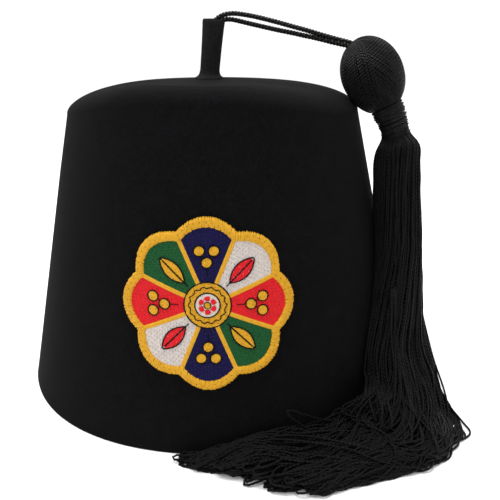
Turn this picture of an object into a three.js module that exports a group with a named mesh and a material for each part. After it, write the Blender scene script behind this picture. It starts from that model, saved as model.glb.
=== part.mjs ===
// A black felt fez with a corded tassel and a round embroidered patch.
// Millimetres, +Z up. The origin is the middle of the rim, on the surface that the hat stands on.
// The patch faces -Y, the wearer's front, and the tassel falls on the +X side.

import * as THREE from 'three';

// Driving dimensions of the felt crown
const RIM_RADIUS = 93;
const CORNER_RADIUS = 66;
const CORNER_HEIGHT = 122.5;
const CROWN_RISE = 11.8;
const FLAT_RADIUS = 28.4;
const SHOULDER_POWER = 2.15;
const FELT = 2.4;
const RIM_BEVEL = 0.5;
const CROWN_TOP = CORNER_HEIGHT + CROWN_RISE;
const TOP_MIDDLE = 136;

// On the wearer's front the wall is pressed higher, to a tighter lip that is the highest part of the crown
const FRONT = { bearing: -100, plateau: 10, spread: 75, cornerHeight: 129.8, flatRadius: 54, top: 136.9 };

// How the soft felt has settled out of round
const CROWN_LEAN = -1.6;
const RIM_SQUARENESS = 0.01;
const RIM_CORNERS = 4;
const SLUMP = { depth: 2.4, start: 28.4, span: 45, limit: 1.3, foot: 0.8 };

// Felt stem in the middle of the top: a rolled strip on a spread foot
const STEM_OFFSET = -1.8;
const STEM_TILT = THREE.MathUtils.degToRad(5.8);
const STEM_DEPTH = 0.86;
const STEM_PROFILE = [
  { height: 0.0, radius: 6.7 },
  { height: 0.8, radius: 6.5 },
  { height: 1.8, radius: 5.9 },
  { height: 2.8, radius: 5.2 },
  { height: 4.0, radius: 4.6 },
  { height: 5.6, radius: 4.25 },
  { height: 10.3, radius: 4.25 },
  { height: 16.3, radius: 4.4 },
  { height: 21.8, radius: 4.65 },
  { height: 24.3, radius: 4.75 },
  { height: 25.2, radius: 4.4 },
];

// Gap between neighbouring pieces, and between the strands and the round of the wall
const GAP = 0.32;
const STRAND_CLEARANCE = 0.5;

// Tassel: its bearing round the hat, the wound ball, and the two-strand cord that carries it
const TASSEL_BEARING = -15;
const HEAD = { radius: 12.9, above: 16.4, below: 17, cut: 14.4, reach: 69.8, height: 138.55, tilt: 27 };
const CORD_DIAMETER = 1.8;
const CORD_SIDES = 8;
const CORD_STEPS = 48;
const CORD_POINTS = 40;

// Route of the cord from the stem to the ball. Reach is measured from the stem towards the ball, spread is
// half the distance between the two strands, and turn is 90 where one strand lies straight above the other.
const CORD_ROUTE = [
  { reach: 0.4, height: 162.8, spread: 1.05, turn: 0 },
  { reach: 2.2, height: 163.3, spread: 1.05, turn: 14 },
  { reach: 4.4, height: 163.4, spread: 1.1, turn: 38 },
  { reach: 7.0, height: 162.9, spread: 1.2, turn: 66 },
  { reach: 9.8, height: 162.4, spread: 1.35, turn: 86 },
  { reach: 15.2, height: 161.4, spread: 1.55, turn: 90 },
  { reach: 21.0, height: 160.3, spread: 1.6, turn: 90 },
  { reach: 28.5, height: 158.6, spread: 1.55, turn: 90 },
  { reach: 35.2, height: 157.1, spread: 1.35, turn: 92 },
  { reach: 40.0, height: 156.0, spread: 1.2, turn: 94 },
  { reach: 43.4, height: 155.2, spread: 1.12, turn: 98 },
  { reach: 46.6, height: 154.4, spread: 1.08, turn: 103 },
  { reach: 49.8, height: 153.6, spread: 1.08, turn: 110 },
  { reach: 53.0, height: 152.8, spread: 1.08, turn: 122 },
  { reach: 56.0, height: 152.1, spread: 1.08, turn: 145 },
  { reach: 58.2, height: 151.4, spread: 1.12, turn: 170 },
  { reach: 59.45, height: 150.75, spread: 1.16, turn: 180 },
];

// Spine of the bound neck and of the skirt of strands under it. Bearing and radius place the spine round
// the hat, across is half the size away from the hat, and along is half the size the other way.
const TASSEL_SPINE = [
  { bearing: -15.0, radius: 76.55, height: 125.4, across: 6.6, along: 6.6 },
  { bearing: -15.0, radius: 79.1, height: 120.4, across: 6.2, along: 6.2 },
  { bearing: -15.3, radius: 81.2, height: 115.4, across: 5.6, along: 5.6 },
  { bearing: -15.8, radius: 82.0, height: 111.0, across: 7.4, along: 7.4 },
  { bearing: -17.0, radius: 82.7, height: 104.5, across: 9.4, along: 9.4 },
  { bearing: -20.0, radius: 84.0, height: 91.0, across: 10.0, along: 10.8 },
  { bearing: -24.0, radius: 87.0, height: 64.0, across: 10.6, along: 13.5 },
  { bearing: -28.5, radius: 90.5, height: 45.0, across: 11.0, along: 16.0 },
  { bearing: -32.5, radius: 95.5, height: 28.0, across: 13.0, along: 16.5 },
  { bearing: -36.5, radius: 101.5, height: 14.5, across: 16.4, along: 13.0 },
  { bearing: -44.0, radius: 110.0, height: 8.2, across: 20.5, along: 8.2 },
  { bearing: -52.0, radius: 111.5, height: 7.2, across: 18.5, along: 7.2 },
  { bearing: -60.0, radius: 109.5, height: 6.4, across: 16.5, along: 6.4 },
  { bearing: -68.0, radius: 108.0, height: 5.6, across: 14.5, along: 5.6 },
  { bearing: -76.0, radius: 107.0, height: 5.0, across: 13.5, along: 5.0 },
  { bearing: -82.0, radius: 103.5, height: 4.2, across: 10.0, along: 4.2 },
  { bearing: -88.0, radius: 100.5, height: 3.2, across: 7.0, along: 3.2 },
  { bearing: -95.0, radius: 97.5, height: 2.1, across: 3.8, along: 2.1 },
  { bearing: -101.0, radius: 95.6, height: 1.1, across: 1.5, along: 1.1 },
];
const NECK_LAST_ROW = 2;

// Embroidered patch: a scalloped disc with a raised border, bent to the wall
const PATCH = { bearing: -93, height: 58.8, radius: 33, lobes: 8, lobeDepth: 3.6 };
const PATCH_BORDER = 3.4;
const PATCH_CLOTH = 1.3;
const PATCH_BORDER_THICKNESS = 1.9;
const PATCH_BORDER_ROUND = 0.95;

// Facets round each piece
const CROWN_FACETS = 64;
const WALL_STEPS = 6;
const SHOULDER_STEPS = 10;
const TOP_STEPS = 3;
const STEM_FACETS = 20;
const HEAD_FACETS = 24;
const HEAD_STEPS = 12;
const SPINE_FACETS = 20;
const NECK_STEPS = 6;
const STEPS_PER_ROW = 3;
const PATCH_FACETS = 80;
const PATCH_RINGS = 4;

const UP = new THREE.Vector3(0, 0, 1);

function finish(name, geometry, color, roughness) {
  geometry.computeVertexNormals();
  const mesh = new THREE.Mesh(geometry, new THREE.MeshStandardMaterial({ color, roughness, metalness: 0 }));
  mesh.name = name;
  return mesh;
}

function moveVertices(geometry, move) {
  const position = geometry.getAttribute('position');
  const point = new THREE.Vector3();
  for (let i = 0; i < position.count; i += 1) {
    point.fromBufferAttribute(position, i);
    const moved = move(point, i);
    position.setXYZ(i, moved.x, moved.y, moved.z);
  }
  return geometry;
}

function turned(profile, facets) {
  const geometry = new THREE.LatheGeometry(profile, facets);
  return geometry.rotateX(Math.PI / 2);
}

function outwards(bearing) {
  const angle = THREE.MathUtils.degToRad(bearing);
  return new THREE.Vector3(Math.cos(angle), Math.sin(angle), 0);
}

// Radius of the straight wall before it settles
function wallRadius(height) {
  return THREE.MathUtils.lerp(RIM_RADIUS, CORNER_RADIUS, height / CORNER_HEIGHT);
}

function squareness(height, angle) {
  const share = THREE.MathUtils.clamp(1 - height / CORNER_HEIGHT, 0, 1);
  return 1 - RIM_SQUARENESS * share * Math.cos(RIM_CORNERS * angle);
}

// The felt leans a little, its rim is slightly square, and the top sinks on the -X side
function settle(point) {
  const scale = squareness(point.z, Math.atan2(point.y, point.x));
  const x = point.x * scale + CROWN_LEAN * point.z / CORNER_HEIGHT;
  const foot = SLUMP.foot * CORNER_HEIGHT;
  const share = THREE.MathUtils.clamp((point.z - foot) / (CROWN_TOP - foot), 0, 1);
  const side = THREE.MathUtils.clamp((-x - SLUMP.start) / SLUMP.span, 0, SLUMP.limit);
  return new THREE.Vector3(x, point.y * scale, point.z - SLUMP.depth * side * side * share);
}

// How far a bearing belongs to the pressed-up front, from 0 to 1
function frontShare(angle) {
  const turned = THREE.MathUtils.radToDeg(angle) - FRONT.bearing;
  const away = Math.abs(THREE.MathUtils.euclideanModulo(turned + 180, 360) - 180);
  return 1 - THREE.MathUtils.smoothstep(away, FRONT.plateau, FRONT.spread);
}

// Half section of the crown's outside at an angle, from the rim up the wall and over the shoulder to the axis
function crownOutside(angle) {
  const front = frontShare(angle);
  const corner = THREE.MathUtils.lerp(CORNER_HEIGHT, FRONT.cornerHeight, front);
  const top = THREE.MathUtils.lerp(CROWN_TOP, FRONT.top, front);
  const flat = THREE.MathUtils.lerp(FLAT_RADIUS, FRONT.flatRadius, front);
  const points = [];
  for (let i = 0; i < WALL_STEPS; i += 1) {
    const height = corner * i / WALL_STEPS;
    points.push(new THREE.Vector2(wallRadius(height), height));
  }
  for (let i = 0; i <= SHOULDER_STEPS; i += 1) {
    const turn = (i / SHOULDER_STEPS) * Math.PI / 2;
    const inward = Math.max(Math.cos(turn), 0) ** (2 / SHOULDER_POWER);
    const upward = Math.sin(turn) ** (2 / SHOULDER_POWER);
    const radius = THREE.MathUtils.lerp(flat, wallRadius(corner), inward);
    points.push(new THREE.Vector2(radius, THREE.MathUtils.lerp(corner, top, upward)));
  }
  for (let i = TOP_STEPS - 1; i >= 0; i -= 1) {
    const share = i / TOP_STEPS;
    points.push(new THREE.Vector2(flat * share, THREE.MathUtils.lerp(TOP_MIDDLE, top, share * share)));
  }
  return points;
}

// The same section moved inwards by the thickness of the felt
function crownInside(outside) {
  const last = outside.length - 1;
  return outside.map((point, i) => {
    if (i === 0) return new THREE.Vector2(point.x - FELT, 0);
    if (i === last) return new THREE.Vector2(0, point.y - FELT);
    const along = outside[i + 1].clone().sub(outside[i - 1]).normalize();
    return new THREE.Vector2(point.x - along.y * FELT, point.y + along.x * FELT);
  });
}

// The whole half section at an angle: down the inside, round the rim and up the outside
function crownSection(angle) {
  const outside = crownOutside(angle);
  const inside = crownInside(outside);
  const outerFoot = outside.shift();
  const innerFoot = inside.shift();
  const rim = [
    new THREE.Vector2(innerFoot.x, RIM_BEVEL),
    new THREE.Vector2(innerFoot.x + RIM_BEVEL, 0),
    new THREE.Vector2(outerFoot.x - RIM_BEVEL, 0),
    new THREE.Vector2(outerFoot.x, RIM_BEVEL),
  ];
  return [...inside.reverse(), ...rim, ...outside];
}

function makeCrown() {
  const plain = crownSection(Math.PI / 2);
  const geometry = turned(plain, CROWN_FACETS);
  moveVertices(geometry, (point, i) => {
    const angle = Math.atan2(point.y, point.x);
    const place = crownSection(angle)[i % plain.length];
    return settle(new THREE.Vector3(place.x * Math.cos(angle), place.x * Math.sin(angle), place.y));
  });
  return finish('crown', geometry, 0x17171a, 0.95);
}

function stemFoot() {
  return settle(new THREE.Vector3(STEM_OFFSET, 0, TOP_MIDDLE)).add(new THREE.Vector3(0, 0, GAP));
}

function makeStem() {
  const profile = STEM_PROFILE.map((row) => new THREE.Vector2(row.radius, row.height));
  const base = new THREE.Vector2(0, STEM_PROFILE[0].height);
  const top = new THREE.Vector2(0, STEM_PROFILE.at(-1).height);
  const geometry = turned([base, ...profile, top], STEM_FACETS);
  moveVertices(geometry, (point) => {
    const shift = point.z * Math.tan(STEM_TILT);
    return new THREE.Vector3(point.x + shift, point.y * STEM_DEPTH, point.z);
  });
  const stem = finish('stem', geometry, 0x17171a, 0.95);
  stem.position.copy(stemFoot());
  return stem;
}

// One row of the cord's route, anywhere along it
function routeAt(share) {
  const places = CORD_ROUTE.map((row) => new THREE.Vector3(row.reach, row.height, row.spread));
  const turns = CORD_ROUTE.map((row) => new THREE.Vector3(row.turn, 0, 0));
  const place = new THREE.CatmullRomCurve3(places, false, 'catmullrom').getPoint(share);
  const turn = new THREE.CatmullRomCurve3(turns, false, 'catmullrom').getPoint(share);
  return { reach: place.x, height: place.y, spread: place.z, turn: turn.x };
}

function cordPath(side) {
  const height = STEM_PROFILE.at(-1).height;
  const start = stemFoot();
  start.x += height * Math.tan(STEM_TILT);
  const ahead = outwards(TASSEL_BEARING);
  const sideways = new THREE.Vector3().crossVectors(ahead, UP);
  const points = [];
  for (let i = 0; i <= CORD_POINTS; i += 1) {
    const row = routeAt(i / CORD_POINTS);
    const turn = THREE.MathUtils.degToRad(row.turn);
    const point = new THREE.Vector3(start.x, start.y, row.height).addScaledVector(ahead, row.reach);
    point.addScaledVector(UP, side * row.spread * Math.sin(turn));
    points.push(point.addScaledVector(sideways, side * row.spread * Math.cos(turn)));
  }
  return new THREE.CatmullRomCurve3(points);
}

function makeCord(name, side) {
  const section = new THREE.Shape();
  section.absarc(0, 0, CORD_DIAMETER / 2, 0, 2 * Math.PI);
  const settings = { steps: CORD_STEPS, curveSegments: CORD_SIDES / 2, extrudePath: cordPath(side) };
  return finish(name, new THREE.ExtrudeGeometry(section, settings), 0x1b1813, 0.6);
}

// The ball is an egg about its own tilted axis, cut flat where the neck is bound
function makeHead() {
  const last = Math.acos(HEAD.cut / HEAD.below);
  const profile = [new THREE.Vector2(0, -HEAD.cut)];
  for (let i = 0; i <= HEAD_STEPS; i += 1) {
    const angle = THREE.MathUtils.lerp(Math.PI - last, 0, i / HEAD_STEPS);
    const length = angle > Math.PI / 2 ? HEAD.below : HEAD.above;
    const radius = i === HEAD_STEPS ? 0 : HEAD.radius * Math.sin(angle);
    profile.push(new THREE.Vector2(radius, length * Math.cos(angle)));
  }
  const head = finish('tassel_head', turned(profile, HEAD_FACETS), 0x1c1c1e, 0.6);
  const sideways = new THREE.Vector3().crossVectors(UP, outwards(TASSEL_BEARING));
  head.position.copy(outwards(TASSEL_BEARING).multiplyScalar(HEAD.reach).setZ(HEAD.height));
  head.quaternion.setFromAxisAngle(sideways, -THREE.MathUtils.degToRad(HEAD.tilt));
  return head;
}

// Strands lie on the surface and against the felt, never in it
function keepOutside(point) {
  const lean = CROWN_LEAN * point.z / CORNER_HEIGHT;
  const x = point.x - lean;
  const least = (wallRadius(point.z) + STRAND_CLEARANCE) * squareness(point.z, Math.atan2(point.y, x));
  const radius = Math.hypot(x, point.y);
  const scale = Math.max(1, least / radius);
  return new THREE.Vector3(x * scale + lean, point.y * scale, Math.max(point.z, 0));
}

function spineCentres() {
  return new THREE.CatmullRomCurve3(
    TASSEL_SPINE.map((row) => outwards(row.bearing).multiplyScalar(row.radius).setZ(row.height)),
    false,
    'catmullrom',
  );
}

function spineSizes() {
  return new THREE.CatmullRomCurve3(
    TASSEL_SPINE.map((row) => new THREE.Vector3(row.across, row.along, 0)),
    false,
    'catmullrom',
  );
}

// A closed cylinder bent along a stretch of the spine
function sweepSpine(firstShare, lastShare, steps) {
  const centres = spineCentres();
  const sizes = spineSizes();
  const geometry = new THREE.CylinderGeometry(1, 1, 1, SPINE_FACETS, steps);
  return moveVertices(geometry, (point) => {
    const share = THREE.MathUtils.lerp(firstShare, lastShare, 0.5 - point.y);
    const centre = centres.getPoint(share);
    const tangent = centres.getTangent(share);
    const away = new THREE.Vector3(centre.x, centre.y, 0).normalize();
    const side = new THREE.Vector3().crossVectors(away, tangent).normalize();
    const out = new THREE.Vector3().crossVectors(tangent, side);
    const size = sizes.getPoint(share);
    centre.addScaledVector(out, size.x * point.x);
    return keepOutside(centre.addScaledVector(side, -size.y * point.z));
  });
}

function makeNeck() {
  const last = NECK_LAST_ROW / (TASSEL_SPINE.length - 1);
  return finish('tassel_neck', sweepSpine(0, last, NECK_STEPS), 0x26262a, 0.55);
}

function makeSkirt() {
  const rows = TASSEL_SPINE.length - 1;
  const rowLength = TASSEL_SPINE[NECK_LAST_ROW].height - TASSEL_SPINE[NECK_LAST_ROW + 1].height;
  const first = (NECK_LAST_ROW + GAP / rowLength) / rows;
  const steps = (rows - NECK_LAST_ROW) * STEPS_PER_ROW;
  return finish('tassel_skirt', sweepSpine(first, 1, steps), 0x161618, 0.65);
}

// A point of the patch, from its radius, angle and height above the felt
function patchPoint(radius, angle, lift) {
  const slope = Math.atan2(RIM_RADIUS - CORNER_RADIUS, CORNER_HEIGHT);
  const height = PATCH.height + radius * Math.sin(angle) * Math.cos(slope) + lift * Math.sin(slope);
  const across = radius * Math.cos(angle) / wallRadius(height);
  const bearing = PATCH.bearing + THREE.MathUtils.radToDeg(across);
  const reach = wallRadius(height) + lift / Math.cos(slope);
  return settle(outwards(bearing).multiplyScalar(reach).setZ(height));
}

// Inward dip of the scalloped edge between its lobes
function lobeDip(angle) {
  return PATCH.lobeDepth * (1 - Math.abs(Math.cos(PATCH.lobes * angle / 2)));
}

function makePatchGround() {
  const edge = PATCH.radius - PATCH_BORDER - GAP;
  const under = [];
  const over = [];
  for (let i = 0; i <= PATCH_RINGS; i += 1) {
    const radius = edge * i / PATCH_RINGS;
    under.push(new THREE.Vector2(radius, GAP));
    over.push(new THREE.Vector2(radius, GAP + PATCH_CLOTH));
  }
  const geometry = turned([...under, ...over.reverse()], PATCH_FACETS);
  moveVertices(geometry, (point) => {
    const angle = Math.atan2(point.y, point.x);
    const radius = Math.hypot(point.x, point.y);
    return patchPoint(radius * (edge - lobeDip(angle)) / edge, angle, point.z);
  });
  return finish('emblem_ground', geometry, 0xb9952c, 0.7);
}

function makePatchBorder() {
  const inner = PATCH.radius - PATCH_BORDER;
  const high = GAP + PATCH_BORDER_THICKNESS;
  const section = [
    new THREE.Vector2(inner, GAP),
    new THREE.Vector2(PATCH.radius, GAP),
    new THREE.Vector2(PATCH.radius, high - PATCH_BORDER_ROUND),
    new THREE.Vector2(PATCH.radius - PATCH_BORDER_ROUND, high),
    new THREE.Vector2(inner + PATCH_BORDER_ROUND, high),
    new THREE.Vector2(inner, high - PATCH_BORDER_ROUND),
    new THREE.Vector2(inner, GAP),
  ];
  const geometry = turned(section, PATCH_FACETS);
  moveVertices(geometry, (point) => {
    const angle = Math.atan2(point.y, point.x);
    return patchPoint(Math.hypot(point.x, point.y) - lobeDip(angle), angle, point.z);
  });
  return finish('emblem_border', geometry, 0xd0a11c, 0.55);
}

const fez = new THREE.Group();
fez.add(
  makeCrown(),
  makeStem(),
  makeCord('cord_upper', 1),
  makeCord('cord_lower', -1),
  makeHead(),
  makeNeck(),
  makeSkirt(),
  makePatchGround(),
  makePatchBorder(),
);

export default fez;
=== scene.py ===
# %% [markdown]
# # A black felt fez, piece by piece
# The real hat is a stiff felt crown with a rolled felt stem, a twisted cord, a wound tassel and a
# stitched patch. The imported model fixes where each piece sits, so it is loaded first and never moved.
# Everything below is worked out in millimetres and turned into metres when a mesh is made.

# %% Load the frame
import math

import bpy
import numpy as np
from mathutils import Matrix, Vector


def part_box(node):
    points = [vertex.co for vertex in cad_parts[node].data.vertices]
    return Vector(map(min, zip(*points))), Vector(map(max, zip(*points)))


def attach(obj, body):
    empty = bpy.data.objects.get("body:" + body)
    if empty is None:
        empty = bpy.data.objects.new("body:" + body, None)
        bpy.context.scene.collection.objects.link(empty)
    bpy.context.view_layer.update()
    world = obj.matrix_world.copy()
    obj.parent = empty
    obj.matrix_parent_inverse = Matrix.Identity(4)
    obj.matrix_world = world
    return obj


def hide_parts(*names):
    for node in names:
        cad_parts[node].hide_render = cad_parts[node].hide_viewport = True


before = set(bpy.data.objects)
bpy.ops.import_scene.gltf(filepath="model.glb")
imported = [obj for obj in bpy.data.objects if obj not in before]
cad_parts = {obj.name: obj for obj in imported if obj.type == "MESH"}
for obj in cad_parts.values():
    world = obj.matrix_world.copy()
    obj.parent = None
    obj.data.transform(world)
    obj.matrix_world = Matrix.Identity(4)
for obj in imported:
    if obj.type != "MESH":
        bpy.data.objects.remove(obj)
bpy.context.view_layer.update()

MM = 0.001
print("frame nodes:", sorted(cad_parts))

# %% [markdown]
# ## Camera
# The photograph is taken from close by, almost level with the top of the crown, so the top is a thin
# sliver. A camera is placed where the hat's outline fits: its place, its turn to the right, its tilt and
# its lens. The standard view keeps black and white as they are, because the photograph has both.

# %% Place the camera
CAMERA_PLACE = (0.0, -300.0, 157.5)
CAMERA_YAW = 0.0501
CAMERA_PITCH = 0.3361
CAMERA_LENS = 45.62
SENSOR_WIDTH = 36.0
NEAREST_SEEN = 10.0


def make_camera():
    data = bpy.data.cameras.new("camera")
    data.lens = CAMERA_LENS
    data.sensor_width = SENSOR_WIDTH
    data.clip_start = NEAREST_SEEN * MM
    camera = bpy.data.objects.new("camera", data)
    camera.location = [c * MM for c in CAMERA_PLACE]
    camera.rotation_euler = (math.pi / 2 - CAMERA_PITCH, 0.0, -CAMERA_YAW)
    bpy.context.collection.objects.link(camera)
    bpy.context.scene.camera = camera


make_camera()
bpy.context.scene.view_settings.view_transform = "Standard"
print("camera at", CAMERA_PLACE, "mm, lens", CAMERA_LENS)

# %% [markdown]
# ## Stage and light
# Black felt shows its shape only by soft light from many sides, so the room is a white tent.
# One large panel hangs over the hat and one stands at its left, where the photograph's felt is palest.

# %% Set the floor
FLOOR_HALF = 4.0
FLOOR_COLOUR = (0.93, 0.93, 0.93, 1.0)
FLOOR_ROUGHNESS = 0.9


def principled(material):
    return material.node_tree.nodes["Principled BSDF"]


def new_material(name):
    material = bpy.data.materials.new(name)
    material.use_nodes = True
    return material


def make_floor():
    mesh = bpy.data.meshes.new("floor")
    h = FLOOR_HALF
    mesh.from_pydata([(-h, -h, 0), (h, -h, 0), (h, h, 0), (-h, h, 0)], [], [(0, 1, 2, 3)])
    floor = bpy.data.objects.new("floor", mesh)
    bpy.context.collection.objects.link(floor)
    material = new_material("white_paper")
    principled(material).inputs["Base Color"].default_value = FLOOR_COLOUR
    principled(material).inputs["Roughness"].default_value = FLOOR_ROUGHNESS
    mesh.materials.append(material)


make_floor()
print(f"floor {2 * FLOOR_HALF:.0f} m wide")

# %% Set the lights
ROOM_LIGHT = 1.1
PANELS = [
    # name, place and aim in metres, metres across, power
    ("top_panel", (-0.15, 0.05, 0.9), (0.0, 0.0, 0.1), 0.7, 9.0),
    ("left_panel", (-0.8, -0.25, 0.45), (0.0, 0.0, 0.08), 0.6, 0.5),
]


def make_room():
    world = bpy.data.worlds.new("white_tent")
    world.use_nodes = True
    background = world.node_tree.nodes["Background"]
    background.inputs["Color"].default_value = (1.0, 1.0, 1.0, 1.0)
    background.inputs["Strength"].default_value = ROOM_LIGHT
    bpy.context.scene.world = world


def make_panel(name, place, aim, size, power):
    data = bpy.data.lights.new(name, "AREA")
    data.shape = "DISK"
    data.size = size
    data.energy = power
    panel = bpy.data.objects.new(name, data)
    panel.location = place
    direction = np.subtract(aim, place)
    yaw = math.atan2(direction[1], direction[0])
    tilt = math.atan2(math.hypot(direction[0], direction[1]), -direction[2])
    panel.rotation_euler = (tilt, 0.0, yaw - math.pi / 2)
    bpy.context.collection.objects.link(panel)


make_room()
for panel in PANELS:
    make_panel(*panel)
print("room and", len(PANELS), "panels ready")

# %% [markdown]
# ## Tools for paths
# Everything wound, hung or laid follows a path, which is a list of points worked out from a few rows.
# A smooth curve through the rows gives many points, and even steps keep the later mesh regular.


# %% Paths
def unit(vectors):
    return vectors / np.linalg.norm(vectors, axis=-1, keepdims=True)


def reach_along(path):
    """Distance along the path at each of its points."""
    return np.concatenate([[0.0], np.cumsum(np.linalg.norm(np.diff(path, axis=0), axis=1))])


def path_length(path):
    return float(np.linalg.norm(np.diff(path, axis=0), axis=1).sum())


def points_at(path, reach, wanted):
    """Points of the path at the wanted distances along it."""
    return np.stack([np.interp(wanted, reach, column) for column in path.T], axis=1)


def even_steps(path, count):
    """The same path with its points at equal distances."""
    reach = reach_along(path)
    return points_at(path, reach, np.linspace(0.0, reach[-1], count))


def smooth_rows(rows, parts):
    """Values on a smooth curve through rows of any number of columns, with so many parts to a row."""
    rows = np.asarray(rows, float)
    ends = np.vstack([2 * rows[0] - rows[1], rows, 2 * rows[-1] - rows[-2]])
    t = np.linspace(0.0, 1.0, parts, endpoint=False)[:, None]
    pieces = []
    for a, b, c, d in zip(ends, ends[1:], ends[2:], ends[3:]):
        cubic = 3 * b - a - 3 * c + d
        pieces.append(0.5 * (2 * b + (c - a) * t + (2 * a - 5 * b + 4 * c - d) * t**2 + cubic * t**3))
    return np.vstack([*pieces, rows[-1:]])


# %% [markdown]
# ## Tools for thread
# Cord, thread and strands are all tubes, so one helper makes many tubes at once from arrays of points.
# A ring of points is carried along each path without twisting, and each tube is closed at both ends.
# The first ring is set square to one slanting direction, which no path starts along.
# The texture coordinates give the turn round the tube and the distance along it in millimetres.

# %% Tubes along paths
ASKEW = (0.31, 0.74, 0.59)


def frames_along(paths):
    """Tangent, normal and binormal at each point of strands x points x 3."""
    tangent = unit(np.gradient(paths, axis=1))
    normal = np.empty_like(tangent)
    normal[:, 0] = unit(np.cross(tangent[:, 0], ASKEW))
    for i in range(1, paths.shape[1]):
        along = (normal[:, i - 1] * tangent[:, i]).sum(axis=1, keepdims=True)
        normal[:, i] = unit(normal[:, i - 1] - along * tangent[:, i])
    return tangent, normal, np.cross(tangent, normal)


def tube_uv(paths, sides):
    """Turn round the tube and distance along it, for each corner of each face and of both caps."""
    strands, count = paths.shape[:2]
    reach = np.array([reach_along(path) for path in paths])
    u = np.broadcast_to(np.arange(sides + 1) / sides, (strands, count, sides + 1))
    v = np.broadcast_to(reach[:, :, None], (strands, count, sides + 1))
    uv = np.stack([u, v], axis=-1)
    corners = [uv[:, :-1, :-1], uv[:, :-1, 1:], uv[:, 1:, 1:], uv[:, 1:, :-1]]
    return np.vstack([np.stack(corners, axis=3).reshape(-1, 2), np.zeros((2 * strands * sides, 2))])


def tube_mesh(paths, radius, sides):
    """Vertices, faces and face-corner texture coordinates of closed tubes along the paths."""
    strands, count = paths.shape[:2]
    _, normal, binormal = frames_along(paths)
    angle = np.arange(sides) * 2 * math.pi / sides
    spoke = np.cos(angle)[:, None] * normal[:, :, None] + np.sin(angle)[:, None] * binormal[:, :, None]
    rings = paths[:, :, None] + radius * spoke
    index = np.arange(strands * count * sides).reshape(strands, count, sides)
    after = np.roll(index, -1, axis=2)
    quads = np.stack([index[:, :-1], after[:, :-1], after[:, 1:], index[:, 1:]], axis=-1)
    caps = index[:, 0, ::-1].tolist() + index[:, -1].tolist()
    return rings.reshape(-1, 3), quads.reshape(-1, 4).tolist() + caps, tube_uv(paths, sides)


# %% [markdown]
# ## Adding a piece
# A piece is a mesh object that moves with the hat, takes its finish from a slot, and may stand for plain
# nodes. One helper does all of that, so no piece can be forgotten, and it prints how many triangles the
# piece has.


# %% Add a piece
def add_piece(name, vertices, faces, material, nodes=(), corner_uv=None):
    """A smooth mesh object in the shared frame, riding on the hat, with its finish."""
    mesh = bpy.data.meshes.new(name)
    mesh.from_pydata((np.asarray(vertices) * MM).tolist(), [], faces)
    if corner_uv is not None:
        layer = mesh.uv_layers.new(name="along")
        layer.data.foreach_set("uv", corner_uv.astype(np.float32).ravel())
    mesh.polygons.foreach_set("use_smooth", [True] * len(mesh.polygons))
    mesh.materials.append(material)
    piece = bpy.data.objects.new(name, mesh)
    bpy.context.collection.objects.link(piece)
    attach(piece, "root")
    if nodes:
        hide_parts(*nodes)
    print(f"{name}: {sum(len(face) - 2 for face in faces)} triangles")
    return piece


# %% [markdown]
# ## Tools for materials
# Every finish here is built from nodes: noise or ridges give a pattern, and the pattern drives colour,
# bump and gloss. Small helpers keep each material short. A value that is the same all over is set on the
# shader's own socket.


# %% Node helpers
def add_node(material, kind, **settings):
    node = material.node_tree.nodes.new(kind)
    for name, value in settings.items():
        setattr(node, name, value)
    return node


def join(material, output, socket):
    material.node_tree.links.new(output, socket)


def feed(material, output, name):
    """Link an output to one of the shader's sockets."""
    join(material, output, principled(material).inputs[name])


def math_node(material, operation, *values):
    """A Math node whose inputs are linked outputs or plain numbers."""
    node = add_node(material, "ShaderNodeMath", operation=operation)
    for socket, value in zip(node.inputs, values):
        if isinstance(value, bpy.types.NodeSocket):
            join(material, value, socket)
        else:
            socket.default_value = value
    return node.outputs["Value"]


def noise_node(material, scale, detail=2.0):
    place = add_node(material, "ShaderNodeTexCoord")
    noise = add_node(material, "ShaderNodeTexNoise")
    noise.inputs["Scale"].default_value = scale
    noise.inputs["Detail"].default_value = detail
    join(material, place.outputs["Object"], noise.inputs["Vector"])
    return noise.outputs["Fac"]


def feed_colour(material, factor, low, high, low_at=0.3, high_at=0.7):
    """Colour the shader by a ramp between two colours."""
    ramp = add_node(material, "ShaderNodeValToRGB")
    for stop, colour, at in zip(ramp.color_ramp.elements, (low, high), (low_at, high_at)):
        stop.position = at
        stop.color = (*colour, 1.0)
    join(material, factor, ramp.inputs["Fac"])
    feed(material, ramp.outputs["Color"], "Base Color")


def feed_roughness(material, factor, swing, level):
    feed(material, math_node(material, "MULTIPLY_ADD", factor, swing, level), "Roughness")


def feed_bump(material, height, strength, depth):
    bump = add_node(material, "ShaderNodeBump")
    bump.inputs["Strength"].default_value = strength
    bump.inputs["Distance"].default_value = depth * MM
    join(material, height, bump.inputs["Height"])
    feed(material, bump.outputs["Normal"], "Normal")


# %% [markdown]
# ## Thread finish
# Rayon thread is nearly black, with a satin shine that breaks into dots where the plies turn over.
# A ridge that runs slantwise round the tube, from the texture coordinates, is the twist.
# It drives bump and roughness, and fine noise varies the black so that the skirt doesn't look moulded.

# %% Make thread materials
THREAD_PLIES = 2.0
TWIST_DEPTH = 0.2
TWIST_GLOSS = -0.06
DYE_SCALE = 420.0
THREAD_SHEEN_ROUGHNESS = 0.4


def twist_ridge(material, ridges_round, ridges_per_mm):
    """Ridges that wind round a tube, from -1 to 1."""
    place = add_node(material, "ShaderNodeUVMap", uv_map="along")
    split = add_node(material, "ShaderNodeSeparateXYZ")
    join(material, place.outputs["UV"], split.inputs["Vector"])
    round_turns = math_node(material, "MULTIPLY", split.outputs["X"], ridges_round)
    along_turns = math_node(material, "MULTIPLY", split.outputs["Y"], ridges_per_mm)
    phase = math_node(material, "ADD", round_turns, along_turns)
    return math_node(material, "SINE", math_node(material, "MULTIPLY", phase, 2 * math.pi))


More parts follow.
